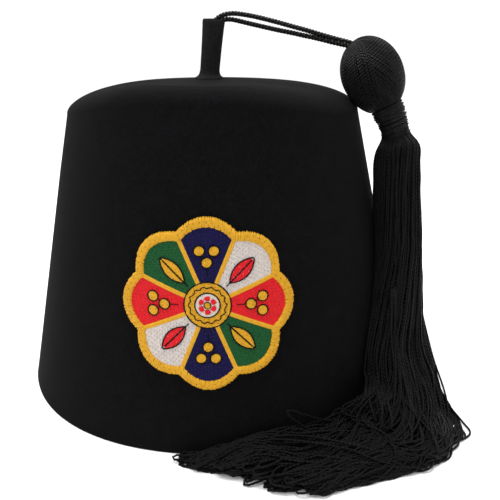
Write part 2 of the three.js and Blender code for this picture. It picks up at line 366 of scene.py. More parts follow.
def make_thread(name, low, high, pitch, roughness, shine, twist=0.5, sheen=0.015):
    material = new_material(name)
    shader = principled(material)
    shader.inputs["Specular IOR Level"].default_value = shine
    shader.inputs["Sheen Weight"].default_value = sheen
    shader.inputs["Sheen Roughness"].default_value = THREAD_SHEEN_ROUGHNESS
    ridge = twist_ridge(material, THREAD_PLIES, 1.0 / pitch)
    feed_bump(material, ridge, twist, TWIST_DEPTH)
    feed_colour(material, noise_node(material, DYE_SCALE), low, high)
    feed_roughness(material, ridge, TWIST_GLOSS, roughness)
    return material


CORD_THREAD = make_thread(
    "cord_thread", (0.0015, 0.0012, 0.001), (0.0048, 0.004, 0.0032),
    pitch=0.9, roughness=0.36, shine=0.16, twist=0.6,
)
BALL_THREAD = make_thread(
    "ball_thread", (0.0014, 0.0013, 0.0013), (0.0042, 0.004, 0.004),
    pitch=1.3, roughness=0.42, shine=0.12, twist=0.8, sheen=0.0,
)
BINDING_THREAD = make_thread(
    "binding_thread", (0.004, 0.0038, 0.0036), (0.011, 0.0104, 0.0098),
    pitch=0.8, roughness=0.5, shine=0.13,
)
STRAND_THREAD = make_thread(
    "strand_thread", (0.001, 0.001, 0.0013), (0.0026, 0.0026, 0.0032),
    pitch=1.6, roughness=0.5, shine=0.08,
)
print("thread materials ready")

# %% [markdown]
# ## The cord
# Two strands leave the top of the stem, close up on their way to the tassel and go into the ball side by
# side. The route follows the part's: reach from the stem, height, half the distance between the strands,
# and turn. The turn is 90 where one strand lies above the other. The first rows are hidden in the roll of
# the stem.

# %% Route of the cord
CORD_ROUTE = [
    # reach, height, spread, turn in degrees
    (-0.3, 154.6, 0.92, 90),
    (-0.1, 157.0, 0.92, 90),
    (0.5, 159.2, 0.92, 90),
    (1.9, 160.9, 0.92, 90),
    (3.9, 162.0, 0.98, 90),
    (6.4, 162.55, 1.12, 90),
    (9.8, 162.45, 1.35, 90),
    (15.2, 161.5, 1.6, 90),
    (21.0, 160.3, 1.65, 90),
    (28.5, 158.6, 1.55, 90),
    (35.2, 157.1, 1.3, 92),
    (40.0, 156.0, 1.2, 94),
    (43.4, 155.2, 1.08, 97),
    (46.6, 154.4, 0.96, 100),
    (49.8, 153.6, 0.9, 104),
    (53.0, 152.8, 0.88, 110),
    (56.0, 152.1, 0.88, 118),
    (58.8, 151.5, 0.88, 126),
    (61.4, 150.8, 0.88, 132),
]
ROUTE_PARTS = 16
CORD_POINTS = 420
TASSEL_BEARING = math.radians(-15)
STEM_FOOT_RADIUS = 6.7
STEM_TILT = math.radians(5.8)
UP = np.array((0.0, 0.0, 1.0))
AHEAD = np.array((math.cos(TASSEL_BEARING), math.sin(TASSEL_BEARING), 0.0))
SIDEWAYS = np.cross(AHEAD, UP)


def node_box(node):
    """Lowest and highest corner of a node, in millimetres."""
    low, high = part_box(node)
    return np.array(low) / MM, np.array(high) / MM


stem_low, stem_high = node_box("stem")
STEM_HEIGHT = stem_high[2] - stem_low[2]
STEM_FOOT = np.array((stem_low[0] + STEM_FOOT_RADIUS, 0.0, stem_low[2]))
STEM_TOP = STEM_FOOT + STEM_HEIGHT * np.array((math.tan(STEM_TILT), 0.0, 1.0))


def cord_path(side):
    """One strand, from inside the roll of the stem to the ball."""
    reach, height, spread, turn = smooth_rows(CORD_ROUTE, ROUTE_PARTS).T[:, :, None]
    turn = np.radians(turn)
    middle = STEM_TOP * (1, 1, 0) + UP * height + AHEAD * reach
    above = np.cross(SIDEWAYS, unit(np.gradient(middle, axis=0)))
    strand = middle + side * spread * (above * np.sin(turn) + SIDEWAYS * np.cos(turn))
    return even_steps(strand, CORD_POINTS)


print(f"stem {STEM_HEIGHT:.1f} mm tall, cord from its top to the ball")

# %% [markdown]
# ## Laying the plies
# Each strand is twisted from two plies, which give it a beaded outline. A bumpy tube would keep a smooth
# edge against the white, so the plies are modelled, each winding round the strand. The length of each
# strand is printed.

# %% Lay the cord
PLY_RADIUS = 0.61
PLY_OFFSET = 0.54
PLY_COUNT = 2
PLY_PITCH = 2.8
PLY_SIDES = 7


def lay_plies(path):
    _, normal, binormal = (a[0] for a in frames_along(path[None]))
    reach = np.linspace(0.0, path_length(path), len(path))[:, None]
    plies = []
    for k in range(PLY_COUNT):
        angle = 2 * math.pi * (reach / PLY_PITCH + k / PLY_COUNT)
        plies.append(path + PLY_OFFSET * (np.cos(angle) * normal + np.sin(angle) * binormal))
    return np.array(plies)


def make_cord(node, side):
    path = cord_path(side)
    vertices, faces, uv = tube_mesh(lay_plies(path), PLY_RADIUS, PLY_SIDES)
    piece = add_piece(node + "_plies", vertices, faces, CORD_THREAD, [node], uv)
    print(f"{node}: {path_length(path):.1f} mm long")


make_cord("cord_upper", 1)
make_cord("cord_lower", -1)

# %% [markdown]
# ## The felt crown
# A fez is one cone of wool felt, steamed and pressed over a block, so wall, soft shoulder and top are one
# piece. The sizes are the part's. The block's lip stands higher at the front, and the felt settles after
# pressing: it leans a little, its rim is slightly square and its left side sinks.

# %% Shape of the felt
CORNER_RADIUS = 66.0
CORNER_HEIGHT = 122.5
CROWN_TOP = 134.3
TOP_MIDDLE = 136.0
FELT = 2.4
CROWN_LEAN = -1.6
RIM_SQUARENESS = 0.01
RIM_CORNERS = 4
SLUMP_DEPTH = 2.4
SLUMP_START = 28.4
SLUMP_SPAN = 45.0
SLUMP_LIMIT = 1.3
SLUMP_FOOT = 0.8 * CORNER_HEIGHT
_, crown_high = node_box("crown")
FRONT_TOP = crown_high[2]
RIM_RADIUS = crown_high[1] / (1 - RIM_SQUARENESS)


def wall_radius(height):
    return RIM_RADIUS + (CORNER_RADIUS - RIM_RADIUS) * height / CORNER_HEIGHT


def smooth_step(share):
    share = np.clip(share, 0, 1)
    return share * share * (3 - 2 * share)


def bell(away, spread):
    return np.exp(-((away / spread) ** 2))


def squareness(height, angle):
    share = np.clip(1 - height / CORNER_HEIGHT, 0, 1)
    return 1 - RIM_SQUARENESS * share * np.cos(RIM_CORNERS * angle)


def settle(points):
    """The lean of the felt, its slightly square rim and its sunken side."""
    x, y, z = np.moveaxis(np.asarray(points, float), -1, 0)
    scale = squareness(z, np.arctan2(y, x))
    x_settled = x * scale + CROWN_LEAN * z / CORNER_HEIGHT
    share = np.clip((z - SLUMP_FOOT) / (CROWN_TOP - SLUMP_FOOT), 0, 1)
    side = np.clip((-x_settled - SLUMP_START) / SLUMP_SPAN, 0, SLUMP_LIMIT)
    return np.stack([x_settled, y * scale, z - SLUMP_DEPTH * side**2 * share], axis=-1)


print(f"rim radius {RIM_RADIUS:.2f} mm, front lip at {FRONT_TOP:.2f} mm")

# %% [markdown]
# ## Felt finish
# Pressed wool is a mat of fibres that scatters light at its edges, so its outline looks paler than its
# face. A sheen layer gives that pale edge. Three sizes of noise give blotches, tufts and single fibres.
# The fibres go to bump and roughness, and the blotches to the black itself.

# %% Make the felt material
FELT_SHINE = 0.03
FELT_SHEEN_ROUGHNESS = 0.5
FELT_SHEEN_TINT = (0.92, 0.94, 1.0, 1.0)
BLOTCH_SCALE = 150.0
BLOTCH_SHARE = 0.4
TUFT_SCALE = 900.0
TUFT_SHARE = 0.8
FIBRE_SCALE = 2600.0
FIBRE_DETAIL = 3.0
MOTTLE_STOPS = (0.45, 0.95)
NAP_BUMP = 0.55
NAP_DEPTH = 0.4
FELT_ROUGHNESS = (0.2, 0.8)


def make_felt(name, low, high, sheen):
    material = new_material(name)
    shader = principled(material)
    shader.inputs["Specular IOR Level"].default_value = FELT_SHINE
    shader.inputs["Sheen Weight"].default_value = sheen
    shader.inputs["Sheen Roughness"].default_value = FELT_SHEEN_ROUGHNESS
    shader.inputs["Sheen Tint"].default_value = FELT_SHEEN_TINT
    blotch = noise_node(material, BLOTCH_SCALE)
    tuft = noise_node(material, TUFT_SCALE)
    fibre = noise_node(material, FIBRE_SCALE, FIBRE_DETAIL)
    mottle = math_node(material, "MULTIPLY_ADD", blotch, BLOTCH_SHARE, tuft)
    feed_colour(material, mottle, low, high, *MOTTLE_STOPS)
    nap = math_node(material, "MULTIPLY_ADD", tuft, TUFT_SHARE, fibre)
    feed_bump(material, nap, NAP_BUMP, NAP_DEPTH)
    feed_roughness(material, fibre, *FELT_ROUGHNESS)
    return material


FELT_BLACK = make_felt("black_wool_felt", (0.0024, 0.0024, 0.0028), (0.0046, 0.0046, 0.0051), 0.005)
# The stem's felt is the crown's felt with its black painted about three times lighter: painted light for
# the light the upright stem catches.
STEM_FELT_PAINTED_LIGHTER = make_felt("rolled_felt_painted_lighter", (0.008, 0.008, 0.0085), (0.0155, 0.0155, 0.0162), 0.012)
print("felt materials ready")

# %% [markdown]
# ## Section of the crown
# The half section runs from the middle of the top, down the outside, round the cut edge and back up the
# inside. It isn't the same all round, because the front is pressed higher and flatter, so it is worked
# out for every angle. Offsetting the outside along its normal keeps the felt equally thick.

# %% Section of the crown
FLAT_RADIUS = 28.4
SHOULDER_POWER = 2.15
FRONT_BEARING = -100.0
FRONT_PLATEAU = 10.0
FRONT_SPREAD = 75.0
FRONT_CORNER = 129.8
FRONT_FLAT = 54.0
WALL_ROWS = 60
SHOULDER_ROWS = 34
FLAT_ROWS = 26
EDGE_ROUND = 0.7
EDGE_ROWS = 5
CREASE = 0.3
CREASE_WIDTH = 1.8


def front_share(angle):
    """How far an angle belongs to the pressed-up front, from 0 to 1."""
    away = np.abs((np.degrees(angle) - FRONT_BEARING + 180) % 360 - 180)
    return 1 - smooth_step((away - FRONT_PLATEAU) / (FRONT_SPREAD - FRONT_PLATEAU))


def crown_outside(angle):
    """Radius and height, rows x angles, from the middle of the top down to just above the rim."""
    front = front_share(angle)
    corner = CORNER_HEIGHT + (FRONT_CORNER - CORNER_HEIGHT) * front
    top = CROWN_TOP + (FRONT_TOP - CROWN_TOP) * front
    flat = FLAT_RADIUS + (FRONT_FLAT - FLAT_RADIUS) * front
    share = np.linspace(0, 1, FLAT_ROWS, endpoint=False)[:, None]
    middle = np.stack([flat * share, TOP_MIDDLE + (top - TOP_MIDDLE) * share**2], axis=-1)
    turn = np.linspace(math.pi / 2, 0, SHOULDER_ROWS)[:, None]
    inward = np.clip(np.cos(turn), 0, 1) ** (2 / SHOULDER_POWER)
    upward = np.sin(turn) ** (2 / SHOULDER_POWER)
    round_radius = flat + (wall_radius(corner) - flat) * inward
    shoulder = np.stack([round_radius, corner + (top - corner) * upward], axis=-1)
    height = EDGE_ROUND + (corner - EDGE_ROUND) * np.linspace(1, 0, WALL_ROWS)[1:, None]
    wall = np.stack([wall_radius(height), height], axis=-1)
    rows = np.vstack([middle, shoulder, wall])
    rows[..., 1] += CREASE * front * bell(rows[..., 0] - flat, CREASE_WIDTH)
    return rows


def crown_section(angle):
    """The closed half section at each angle: outside, rounded cut edge, inside."""
    outside = crown_outside(angle)
    along = unit(np.gradient(outside, axis=0))
    inside = outside + FELT * np.stack([along[..., 1], -along[..., 0]], axis=-1)
    inside[0] = (0.0, TOP_MIDDLE - FELT)
    inside[..., 0] = np.maximum(inside[..., 0], 0.0)
    inside[-1] = (RIM_RADIUS - FELT, EDGE_ROUND)
    turn = np.linspace(0, math.pi / 2, EDGE_ROWS)[1:]
    round_radius = RIM_RADIUS - EDGE_ROUND * (1 - np.cos(turn))
    outer_round = np.stack([round_radius, EDGE_ROUND * (1 - np.sin(turn))], axis=1)
    inner_round = np.stack([2 * RIM_RADIUS - FELT - outer_round[::-1, 0], outer_round[::-1, 1]], axis=1)
    edge = np.repeat(np.vstack([outer_round, inner_round])[:, None], len(angle), axis=1)
    return np.vstack([outside, edge, inside[::-1]])


# %% [markdown]
# ## Turning the crown
# Each point of the section is turned round the axis, as on a lathe. A few slow waves show that the felt
# is pressed by hand. Only the first and last points lie on the axis, so fans of triangles close the grid
# there.

# %% Turn the crown
CROWN_SPOKES = 240
RIPPLES = [
    # depth, waves round, phase, wavelength up the wall
    (0.09, 3, 1.3, 190.0),
    (0.07, 7, 0.5, 250.0),
    (0.05, 11, 2.1, 140.0),
]
RIPPLE_FADE = 14.0


def felt_ripple(height, angle):
    fade = np.clip(height / RIPPLE_FADE, 0, 1)
    waves = [d * np.sin(n * angle + p + 2 * math.pi * height / w) for d, n, p, w in RIPPLES]
    return fade * sum(waves)


def ring_quads(rows, sides):
    """The number of each point in rings of points, and the faces between neighbouring rings."""
    index = np.arange(rows * sides).reshape(rows, sides)
    after = np.roll(index, -1, axis=1)
    quads = np.stack([index[:-1], index[1:], after[1:], after[:-1]], axis=-1)
    return index, quads.reshape(-1, 4).tolist()


def make_crown():
    angle = np.arange(CROWN_SPOKES) * 2 * math.pi / CROWN_SPOKES
    section = crown_section(angle)
    radius, height = section[1:-1, :, 0], section[1:-1, :, 1]
    radius = radius + felt_ripple(height, angle) * np.clip(radius / CORNER_RADIUS, 0, 1)
    rings = settle(np.stack([radius * np.cos(angle), radius * np.sin(angle), height], axis=-1))
    poles = settle([(0.0, 0.0, section[0, 0, 1]), (0.0, 0.0, section[-1, 0, 1])])
    index, quads = ring_quads(len(rings), CROWN_SPOKES)
    first, last = index[0].tolist(), index[-1].tolist()
    fans = [(index.size, a, b) for a, b in zip(first, first[1:] + first[:1])]
    fans += [(index.size + 1, b, a) for a, b in zip(last, last[1:] + last[:1])]
    vertices = np.vstack([rings.reshape(-1, 3), poles])
    add_piece("felt_crown", vertices, quads + fans, FELT_BLACK, ["crown"])


make_crown()

# %% [markdown]
# ## The stem's roll
# The stem is a strip of the same felt rolled up tight, glued, and spread into a small foot where it meets
# the top. Its section is a rolled band: an outer turn that dives under its own thinned end, and an inner
# turn round the cord. That band is drawn once for a stem of radius 1, and scaled later.

# %% Roll the strip
STRIP = 1.85
STRIP_STEM_RADIUS = 4.3
ROLL_STEPS = 110
ROLL_END = math.radians(600)
DIVE_START = math.radians(292)
DIVE_END = math.radians(372)
DIVE_DEPTH = 1.04
LATE_SQUEEZE = 0.05
THIN_END = 0.45
THIN_TURN = 0.7
SEAM_BEARING = math.radians(62)


def rolled_strip():
    """Outer and inner side of the strip for a stem of radius 1."""
    strip = STRIP / STRIP_STEM_RADIUS
    turn = np.linspace(0, ROLL_END, ROLL_STEPS)
    dive = smooth_step((turn - DIVE_START) / (DIVE_END - DIVE_START))
    late = np.clip((turn - DIVE_END) / (ROLL_END - DIVE_END), 0, 1)
    middle = 1 - strip / 2 - dive * strip * DIVE_DEPTH - LATE_SQUEEZE * late
    half = strip / 2 * (THIN_END + (1 - THIN_END) * smooth_step(turn / THIN_TURN))
    angle = SEAM_BEARING + turn
    way = np.stack([np.cos(angle), np.sin(angle)], axis=1)
    lift = strip / 2 - half
    return way * (middle - lift + half)[:, None], way * (middle - lift - half)[:, None]


# %% [markdown]
# ## The stem
# The band is carried up the stem's profile, so the seam at the back and the open roll on the cut top come
# by themselves. It leans, waves a little, and has a notch in its top edge, where the cord has pressed a
# way out. The band runs the other way round than the crown's rings do, so its faces are turned over.

# %% Make the stem
STEM_PROFILE = [
    # height, radius
    (-0.3, 6.75),
    (0.0, 6.7),
    (0.4, 6.15),
    (0.9, 5.4),
    (1.6, 4.9),
    (2.6, 4.6),
    (4.2, 4.45),
    (10.3, 4.5),
    (16.3, 4.7),
    (21.8, 5.0),
    (24.3, 5.1),
    (25.2, 4.8),
]
PROFILE_PARTS = 12
FOOT_TOP = 6.0
FOOT_ROWS = 22
SHAFT_ROWS = 38
STEM_DEPTH = 0.86
STEM_WAVE = 0.12
STEM_WAVE_RISE = 5.0
NOTCH_DEPTH = 0.55
NOTCH_SPREAD = 0.5
NOTCH_HEIGHT = 2.9
CUT_SLOPE = 0.3
CUT_BEARING = 2.6


def stem_rows():
    heights, radii = smooth_rows(STEM_PROFILE, PROFILE_PARTS).T
    foot = np.linspace(heights[0], FOOT_TOP, FOOT_ROWS, endpoint=False)
    height = np.concatenate([foot, np.linspace(FOOT_TOP, STEM_HEIGHT, SHAFT_ROWS)])
    return height, np.interp(height, heights, radii)


def stem_ring(loop, height, radius):
    """The rolled band at one height of the stem, above the middle of its foot."""
    angle = np.arctan2(loop[:, 1], loop[:, 0])
    share = height / STEM_HEIGHT
    wave = STEM_WAVE * np.sin(2 * angle + height / STEM_WAVE_RISE) * share
    x = loop[:, 0] * radius + height * math.tan(STEM_TILT)
    y = loop[:, 1] * radius * STEM_DEPTH
    near_top = smooth_step((height - STEM_HEIGHT + NOTCH_HEIGHT) / NOTCH_HEIGHT)
    notch = NOTCH_DEPTH * bell(angle - TASSEL_BEARING, NOTCH_SPREAD) * near_top
    z = height + CUT_SLOPE * share**6 * np.cos(angle - CUT_BEARING) - notch
    return np.stack([x + wave * np.cos(angle), y + wave * np.sin(angle), z], axis=1)


def make_stem():
    outer, inner = rolled_strip()
    loop = np.vstack([outer, inner[::-1]])
    rings = np.array([stem_ring(loop, height, radius) for height, radius in zip(*stem_rows())])
    index, quads = ring_quads(*rings.shape[:2])
    faces = [face[:1] + face[:0:-1] for face in quads]
    low, high = index[0].tolist(), index[-1].tolist()
    steps = range(ROLL_STEPS - 1)
    faces += [[low[-1 - i], low[-2 - i], low[i + 1], low[i]] for i in steps]
    faces += [[high[i], high[i + 1], high[-2 - i], high[-1 - i]] for i in steps]
    # The stem takes the felt whose black is painted lighter, as painted light.
    add_piece("rolled_stem", rings.reshape(-1, 3) + STEM_FOOT, faces, STEM_FELT_PAINTED_LIGHTER, ["stem"])


make_stem()

# %% [markdown]
# ## The ball's egg
# The tassel hangs from a ball: a soft core wrapped end to end in rayon thread. Its form is an egg that
# leans back to the hat. A dark core just under the threads closes the gaps between them. Points are found
# in the egg's own axes first and turned into the hat's frame at the end.

# %% Shape the egg
HEAD_RADIUS = 12.9
HEAD_ABOVE = 16.4
HEAD_BELOW = 17.0
HEAD_CUT = 14.4
HEAD_TILT = math.radians(27)
HEAD_REACH = 69.8
HEAD_HEIGHT = 138.55
HEAD_CENTRE = AHEAD * HEAD_REACH + UP * HEAD_HEIGHT
CORE_ROWS = 30
CORE_SIDES = 40
CORE_TOP = 0.02
CORE_UNDER = 0.3
head_up = UP * math.cos(HEAD_TILT) - AHEAD * math.sin(HEAD_TILT)
head_out = AHEAD * math.cos(HEAD_TILT) + UP * math.sin(HEAD_TILT)
HEAD_AXES = np.stack([head_out, np.cross(head_up, head_out), head_up])


def direction_of(polar, turn):
    flat = np.sin(polar)
    return np.stack([flat * np.cos(turn), flat * np.sin(turn), np.cos(polar)], axis=-1)


def on_egg(direction, lift):
    """Points of the egg, in its own axes, lifted along its normal."""
    length = np.where(direction[..., 2] > 0, HEAD_ABOVE, HEAD_BELOW)
    across = np.full_like(length, HEAD_RADIUS)
    size = np.stack([across, across, length], axis=-1)
    return direction * size + lift * unit(direction / size)


def ball_core():
    """A dark egg just under the threads, as one ring of points carried down the axis."""
    polar = np.linspace(CORE_TOP, math.acos(-HEAD_CUT / HEAD_BELOW), CORE_ROWS)
    turn = np.linspace(0, 2 * math.pi, CORE_SIDES, endpoint=False)
    polar, turn = np.meshgrid(polar, turn, indexing="ij")
    return on_egg(direction_of(polar, turn), -CORE_UNDER) @ HEAD_AXES + HEAD_CENTRE


print(f"ball {2 * HEAD_RADIUS:.1f} mm across")

# %% [markdown]
# ## Winding the ball
# Painted lines would slide over the outline, so each visible thread is a tube laid on the egg. All
# threads start where the cord goes in. One full lay covers the core, straight down. Bands that lean to
# one side or the other lie over it and make the crossings, as when the winder turns the ball.

# %% Wind the ball
BALL_SEED = 7
BALL_THREAD_RADIUS = 0.39
BALL_STEPS = 40
BALL_SIDES = 5
WIND_STEPS = 160
FIRST_POLAR = 5.0
LAST_POLAR = 174.0
LEAN_MIDDLE = 0.45
RISE_RATE = 1.15
THREAD_SINK = 0.12
FULL_LAY = 98
LAY_SCATTER = 0.25
BANDS = [
    # middle of the band, half its spread, how far round it leans (degrees), threads, lift
    (-52, 30, 75, 18, 0.3),
    (-116, 38, -80, 22, 0.42),
    (-20, 26, -60, 15, 0.3),
    (40, 40, 80, 21, 0.3),
    (110, 40, -80, 21, 0.42),
    (190, 44, 65, 21, 0.3),
]
ENTRY_TILT = math.radians(14)
ENTRY_POLE = np.array([
    # axes of the winding, tilted back to the place where the cord goes in
    (math.cos(ENTRY_TILT), 0.0, -math.sin(ENTRY_TILT)),
    (0.0, 1.0, 0.0),
    (math.sin(ENTRY_TILT), 0.0, math.cos(ENTRY_TILT)),
])


def wind_thread(longitude, lean, lift):
    """One thread from the pole down to the cut, as even steps."""
    polar = np.radians(np.linspace(FIRST_POLAR, LAST_POLAR, WIND_STEPS))
    share = np.linspace(0, 1, WIND_STEPS)
    turn = np.radians(longitude + lean * (share - LEAN_MIDDLE))
    raised = lift * np.sin(math.pi * np.clip(share * RISE_RATE, 0, 1)) ** 0.5 - THREAD_SINK
    points = on_egg(direction_of(polar, turn) @ ENTRY_POLE.T, raised[:, None])
    last = int(np.argmax(points[:, 2] < -HEAD_CUT)) or len(points)
    return even_steps(points[:last], BALL_STEPS)


def ball_threads(rng):
    paths = []
    for k in range(FULL_LAY):
        longitude = 360 * (k + LAY_SCATTER * rng.standard_normal()) / FULL_LAY
        paths.append(wind_thread(longitude, 0, 0.0))
    for middle, spread, lean, count, lift in BANDS:
        for k in range(count):
            longitude = middle + spread * (2 * (k + rng.random()) / count - 1)
            paths.append(wind_thread(longitude, lean, lift))
    return np.array(paths) @ HEAD_AXES + HEAD_CENTRE


# %% [markdown]
# ## Joining core and threads
# A piece made of many closed bodies is one mesh: their points are stacked and their faces counted on.
# The core is a closed grid of rings with a flat cap at each end, and so are other cores below.


# %% Make the ball
def close_grid(rings):
    """Faces of a closed body from rings of points, with a flat cap at each end."""
    index, quads = ring_quads(*rings.shape[:2])
    return rings.reshape(-1, 3), quads + [index[0].tolist(), index[-1][::-1].tolist()]


def join_bodies(*bodies):
    """Several bodies as one, each given as vertices, faces and corner coordinates or None."""
    vertices, faces, corners = [], [], []
    start = 0
    for points, polygons, uv in bodies:
        vertices.append(points)
        faces += [[start + v for v in face] for face in polygons]
        corners.append(np.zeros((sum(map(len, polygons)), 2)) if uv is None else uv)
        start += len(points)
    return np.vstack(vertices), faces, np.vstack(corners)


def make_ball():
    rng = np.random.default_rng(BALL_SEED)
    threads = tube_mesh(ball_threads(rng), BALL_THREAD_RADIUS, BALL_SIDES)
    vertices, faces, uv = join_bodies((*close_grid(ball_core()), None), threads)
    add_piece("wound_ball", vertices, faces, BALL_THREAD, ["tassel_head"], uv)


make_ball()

# %% [markdown]
# ## The tassel's spine
# Below the ball the strands are bound, hang down the wall, turn on the table and sweep round the rim. The
# part holds that course as a list of rows, and nearly the same rows are used here, so the strands stay
# with it. A smooth curve through the rows gives a centre and two half sizes anywhere along the tassel.

# %% Course of the tassel
TASSEL_SPINE = [
    # bearing, radius, height, half size away from the hat, half size the other way
    (-15.0, 76.55, 125.4, 6.6, 6.6),
    (-15.0, 79.1, 120.4, 6.2, 6.2),
    (-15.3, 81.6, 113.4, 5.5, 5.5),
    (-15.9, 82.3, 109.0, 7.4, 7.4),
    (-17.0, 82.7, 104.5, 9.4, 9.4),
    (-20.0, 84.0, 91.0, 10.0, 10.8),
    (-24.0, 87.0, 64.0, 10.6, 14.5),
    (-29.3, 90.0, 45.0, 10.6, 18.0),
    (-34.5, 94.0, 28.0, 10.8, 22.0),
    (-39.0, 100.0, 14.5, 15.0, 15.0),
    (-45.0, 109.0, 8.2, 20.5, 8.2),
    (-52.0, 111.5, 7.2, 18.5, 7.2),
    (-60.0, 109.5, 6.4, 16.5, 6.4),
    (-68.0, 108.0, 5.6, 14.5, 5.6),
    (-76.0, 107.0, 5.0, 13.5, 5.0),
    (-82.0, 103.5, 4.2, 10.0, 4.2),
    (-88.0, 100.5, 3.2, 7.0, 3.2),
    (-95.0, 97.5, 2.1, 3.8, 2.1),
    (-101.0, 95.6, 1.1, 1.5, 1.1),
]
SPINE_PARTS = 16


def around(bearing, radius, height):
    angle = np.radians(bearing)
    return np.stack([radius * np.cos(angle), radius * np.sin(angle), height], axis=-1)


SPINE = smooth_rows(TASSEL_SPINE, SPINE_PARTS)
SPINE_ROW = np.linspace(0, len(TASSEL_SPINE) - 1, len(SPINE))
SPINE_CENTRE = around(*SPINE[:, :3].T)
spine_tangent = unit(np.gradient(SPINE_CENTRE, axis=0))
spine_away = unit(SPINE_CENTRE * (1, 1, 0))
SPINE_SIDE = unit(np.cross(spine_away, spine_tangent))
SPINE_OUT = np.cross(spine_tangent, SPINE_SIDE)
print(f"tassel course {path_length(SPINE_CENTRE):.0f} mm from the ball to the tip")

# %% [markdown]
# ## Binding thread
# A finer thread is whipped round the strands just under the ball. Its turns lie side by side, not quite
# even. A helix whose radius and pitch wander slightly looks hand bound, where plain rings don't.

# %% Turns of the binding
BINDING_SLANT = 0.22
TURN_STEPS = 30
# size and rate of a slow and a quicker wave
PITCH_WAVES = ((0.05, 0.37), (0.03, 1.3))
RADIUS_WAVES = ((0.1, 0.61), (0.06, 2.3))
PITCH_PHASE = 1.0
PHASES = (0, 6)


def spine_at(values, row):
    """Values at any row of the spine, from an array with a line for each of its steps."""
    return np.stack([np.interp(row, SPINE_ROW, column) for column in values.T], axis=-1)


def neck_point(row, angle, proud):
    """A point on the neck: row of the spine, angle round it, and how far it stands proud."""
    radius = np.interp(row, SPINE_ROW, SPINE[:, 3]) + proud
    out, side = spine_at(SPINE_OUT, row), spine_at(SPINE_SIDE, row)
    spoke = np.cos(angle)[..., None] * out + np.sin(angle)[..., None] * side
    return spine_at(SPINE_CENTRE, row) + radius[..., None] * spoke


def sum_waves(angle, waves, phases):
    return sum(size * np.sin(angle * rate + phase) for (size, rate), phase in zip(waves, phases))


def bound_turns(turns, rows, proud, rng):
    angle = np.linspace(0, 2 * math.pi * turns, turns * TURN_STEPS)
    slant = BINDING_SLANT * np.linspace(0, 1, len(angle)) * np.cos(angle)
    row = np.linspace(*rows, len(angle)) - slant
    row = row + sum_waves(angle, PITCH_WAVES, (PITCH_PHASE, rng.uniform(*PHASES)))
    wander = sum_waves(angle, RADIUS_WAVES, (rng.uniform(*PHASES), 0.0))
    return neck_point(row, angle, proud + wander)


# %% [markdown]
# ## The bound neck
# A few slack turns lie over the even ones, and frayed ends of the thread stand off at the lower edge.
# A plain core inside the turns closes the gaps between them, as the strands do on a real tassel.

# %% Bind the neck
NECK_SEED = 11
BINDING_TURNS = 24
BINDING_ROWS = (0.02, 2.25)
BINDING_PROUD = 0.3
BINDING_RADIUS = 0.3
BINDING_SIDES = 6
SLACK_TURNS = 5
SLACK_ROWS = (0.35, 2.2)
SLACK_PROUD = 0.6
NECK_CORE_ROWS = np.linspace(0, 2.2, 23)
NECK_CORE_SIDES = 28
NECK_CORE_UNDER = 0.35
FRAY_COUNT = 14
FRAY_STEPS = 10
FRAY_BEARING = math.radians(-40)
FRAY_FAN = 0.35
FRAY_ROW = 1.7
FRAY_ROWS = 0.35
FRAY_REACH = 0.3
FRAY_DROP = (-0.4, 1.0)
FRAY_TURN = 0.5
FRAY_PROUD = 0.5
FRAY_STAND = (0.4, 1.5)
FRAY_RADIUS = 0.12
FRAY_SIDES = 4


def fray_ends(rng):
    """Loose ends of the binding that stand off below it."""
    share = np.linspace(0, 1, FRAY_STEPS)
    paths = []
    for _ in range(FRAY_COUNT):
        row = FRAY_ROW + FRAY_ROWS * rng.random() + FRAY_REACH * share * rng.uniform(*FRAY_DROP)
        angle = FRAY_BEARING + rng.normal(0, FRAY_FAN) + FRAY_TURN * share * rng.uniform(-1, 1)
        proud = FRAY_PROUD + share**1.5 * rng.uniform(*FRAY_STAND)
        paths.append(neck_point(row, angle, proud))
    return np.array(paths)


def neck_core():
    turn = np.linspace(0, 2 * math.pi, NECK_CORE_SIDES, endpoint=False)
    row, angle = np.meshgrid(NECK_CORE_ROWS, turn, indexing="ij")
    return neck_point(row, angle, -NECK_CORE_UNDER)


def make_neck():
    rng = np.random.default_rng(NECK_SEED)
    binding = bound_turns(BINDING_TURNS, BINDING_ROWS, BINDING_PROUD, rng)
    slack = bound_turns(SLACK_TURNS, SLACK_ROWS, SLACK_PROUD, rng)
    vertices, faces, uv = join_bodies(
        (*close_grid(neck_core()), None),
        tube_mesh(binding[None], BINDING_RADIUS, BINDING_SIDES),
        tube_mesh(slack[None], BINDING_RADIUS, BINDING_SIDES),
        tube_mesh(fray_ends(rng), FRAY_RADIUS, FRAY_SIDES),
    )
    add_piece("bound_neck", vertices, faces, BINDING_THREAD, ["tassel_neck"], uv)


make_neck()

# %% [markdown]
# ## Places in the bundle
# Each strand of the skirt is a thin twisted cord, folded at its end, so a tassel shows loops instead of
# cut tips. Every leg has a place in a disc, and keeps it roughly while the bundle hangs, spreads and lies
# down. The outer rings are the fullest, because only the outer strands show.

# %% Places in the bundle
STRAND_RADIUS = 0.44
STRAND_SIDES = 5
RINGS = [
    # share of the bundle's radius, legs
    (0.97, 78), (0.91, 78), (0.84, 62), (0.75, 54),
    (0.65, 46), (0.54, 38), (0.42, 28), (0.28, 18),
]
RING_STAGGER = 0.5
PLACE_TURN = 0.17
PLACE_DEPTH = 0.012


def bundle_places(rng):
    """Places in the unit disc, ring by ring from the outside."""
    places = []
    for i, (middle, count) in enumerate(RINGS):
        step = np.arange(count) + RING_STAGGER * i + rng.normal(0, PLACE_TURN, count)
        angle = 2 * math.pi * step / count
        radius = middle + rng.normal(0, PLACE_DEPTH, count)
        places.append(np.stack([radius * np.cos(angle), radius * np.sin(angle)], axis=1))
    return np.vstack(places)


print(sum(count for _, count in RINGS), "legs in the bundle")

# %% [markdown]
# ## How strands wander
# A strand that keeps its place exactly looks combed. Slow seeded waves let it drift and cross its
# neighbours. Twisted thread also keeps a short wavy set once it has been wound. The strands of one tuft
# share their swings on the table, so that they part in locks.

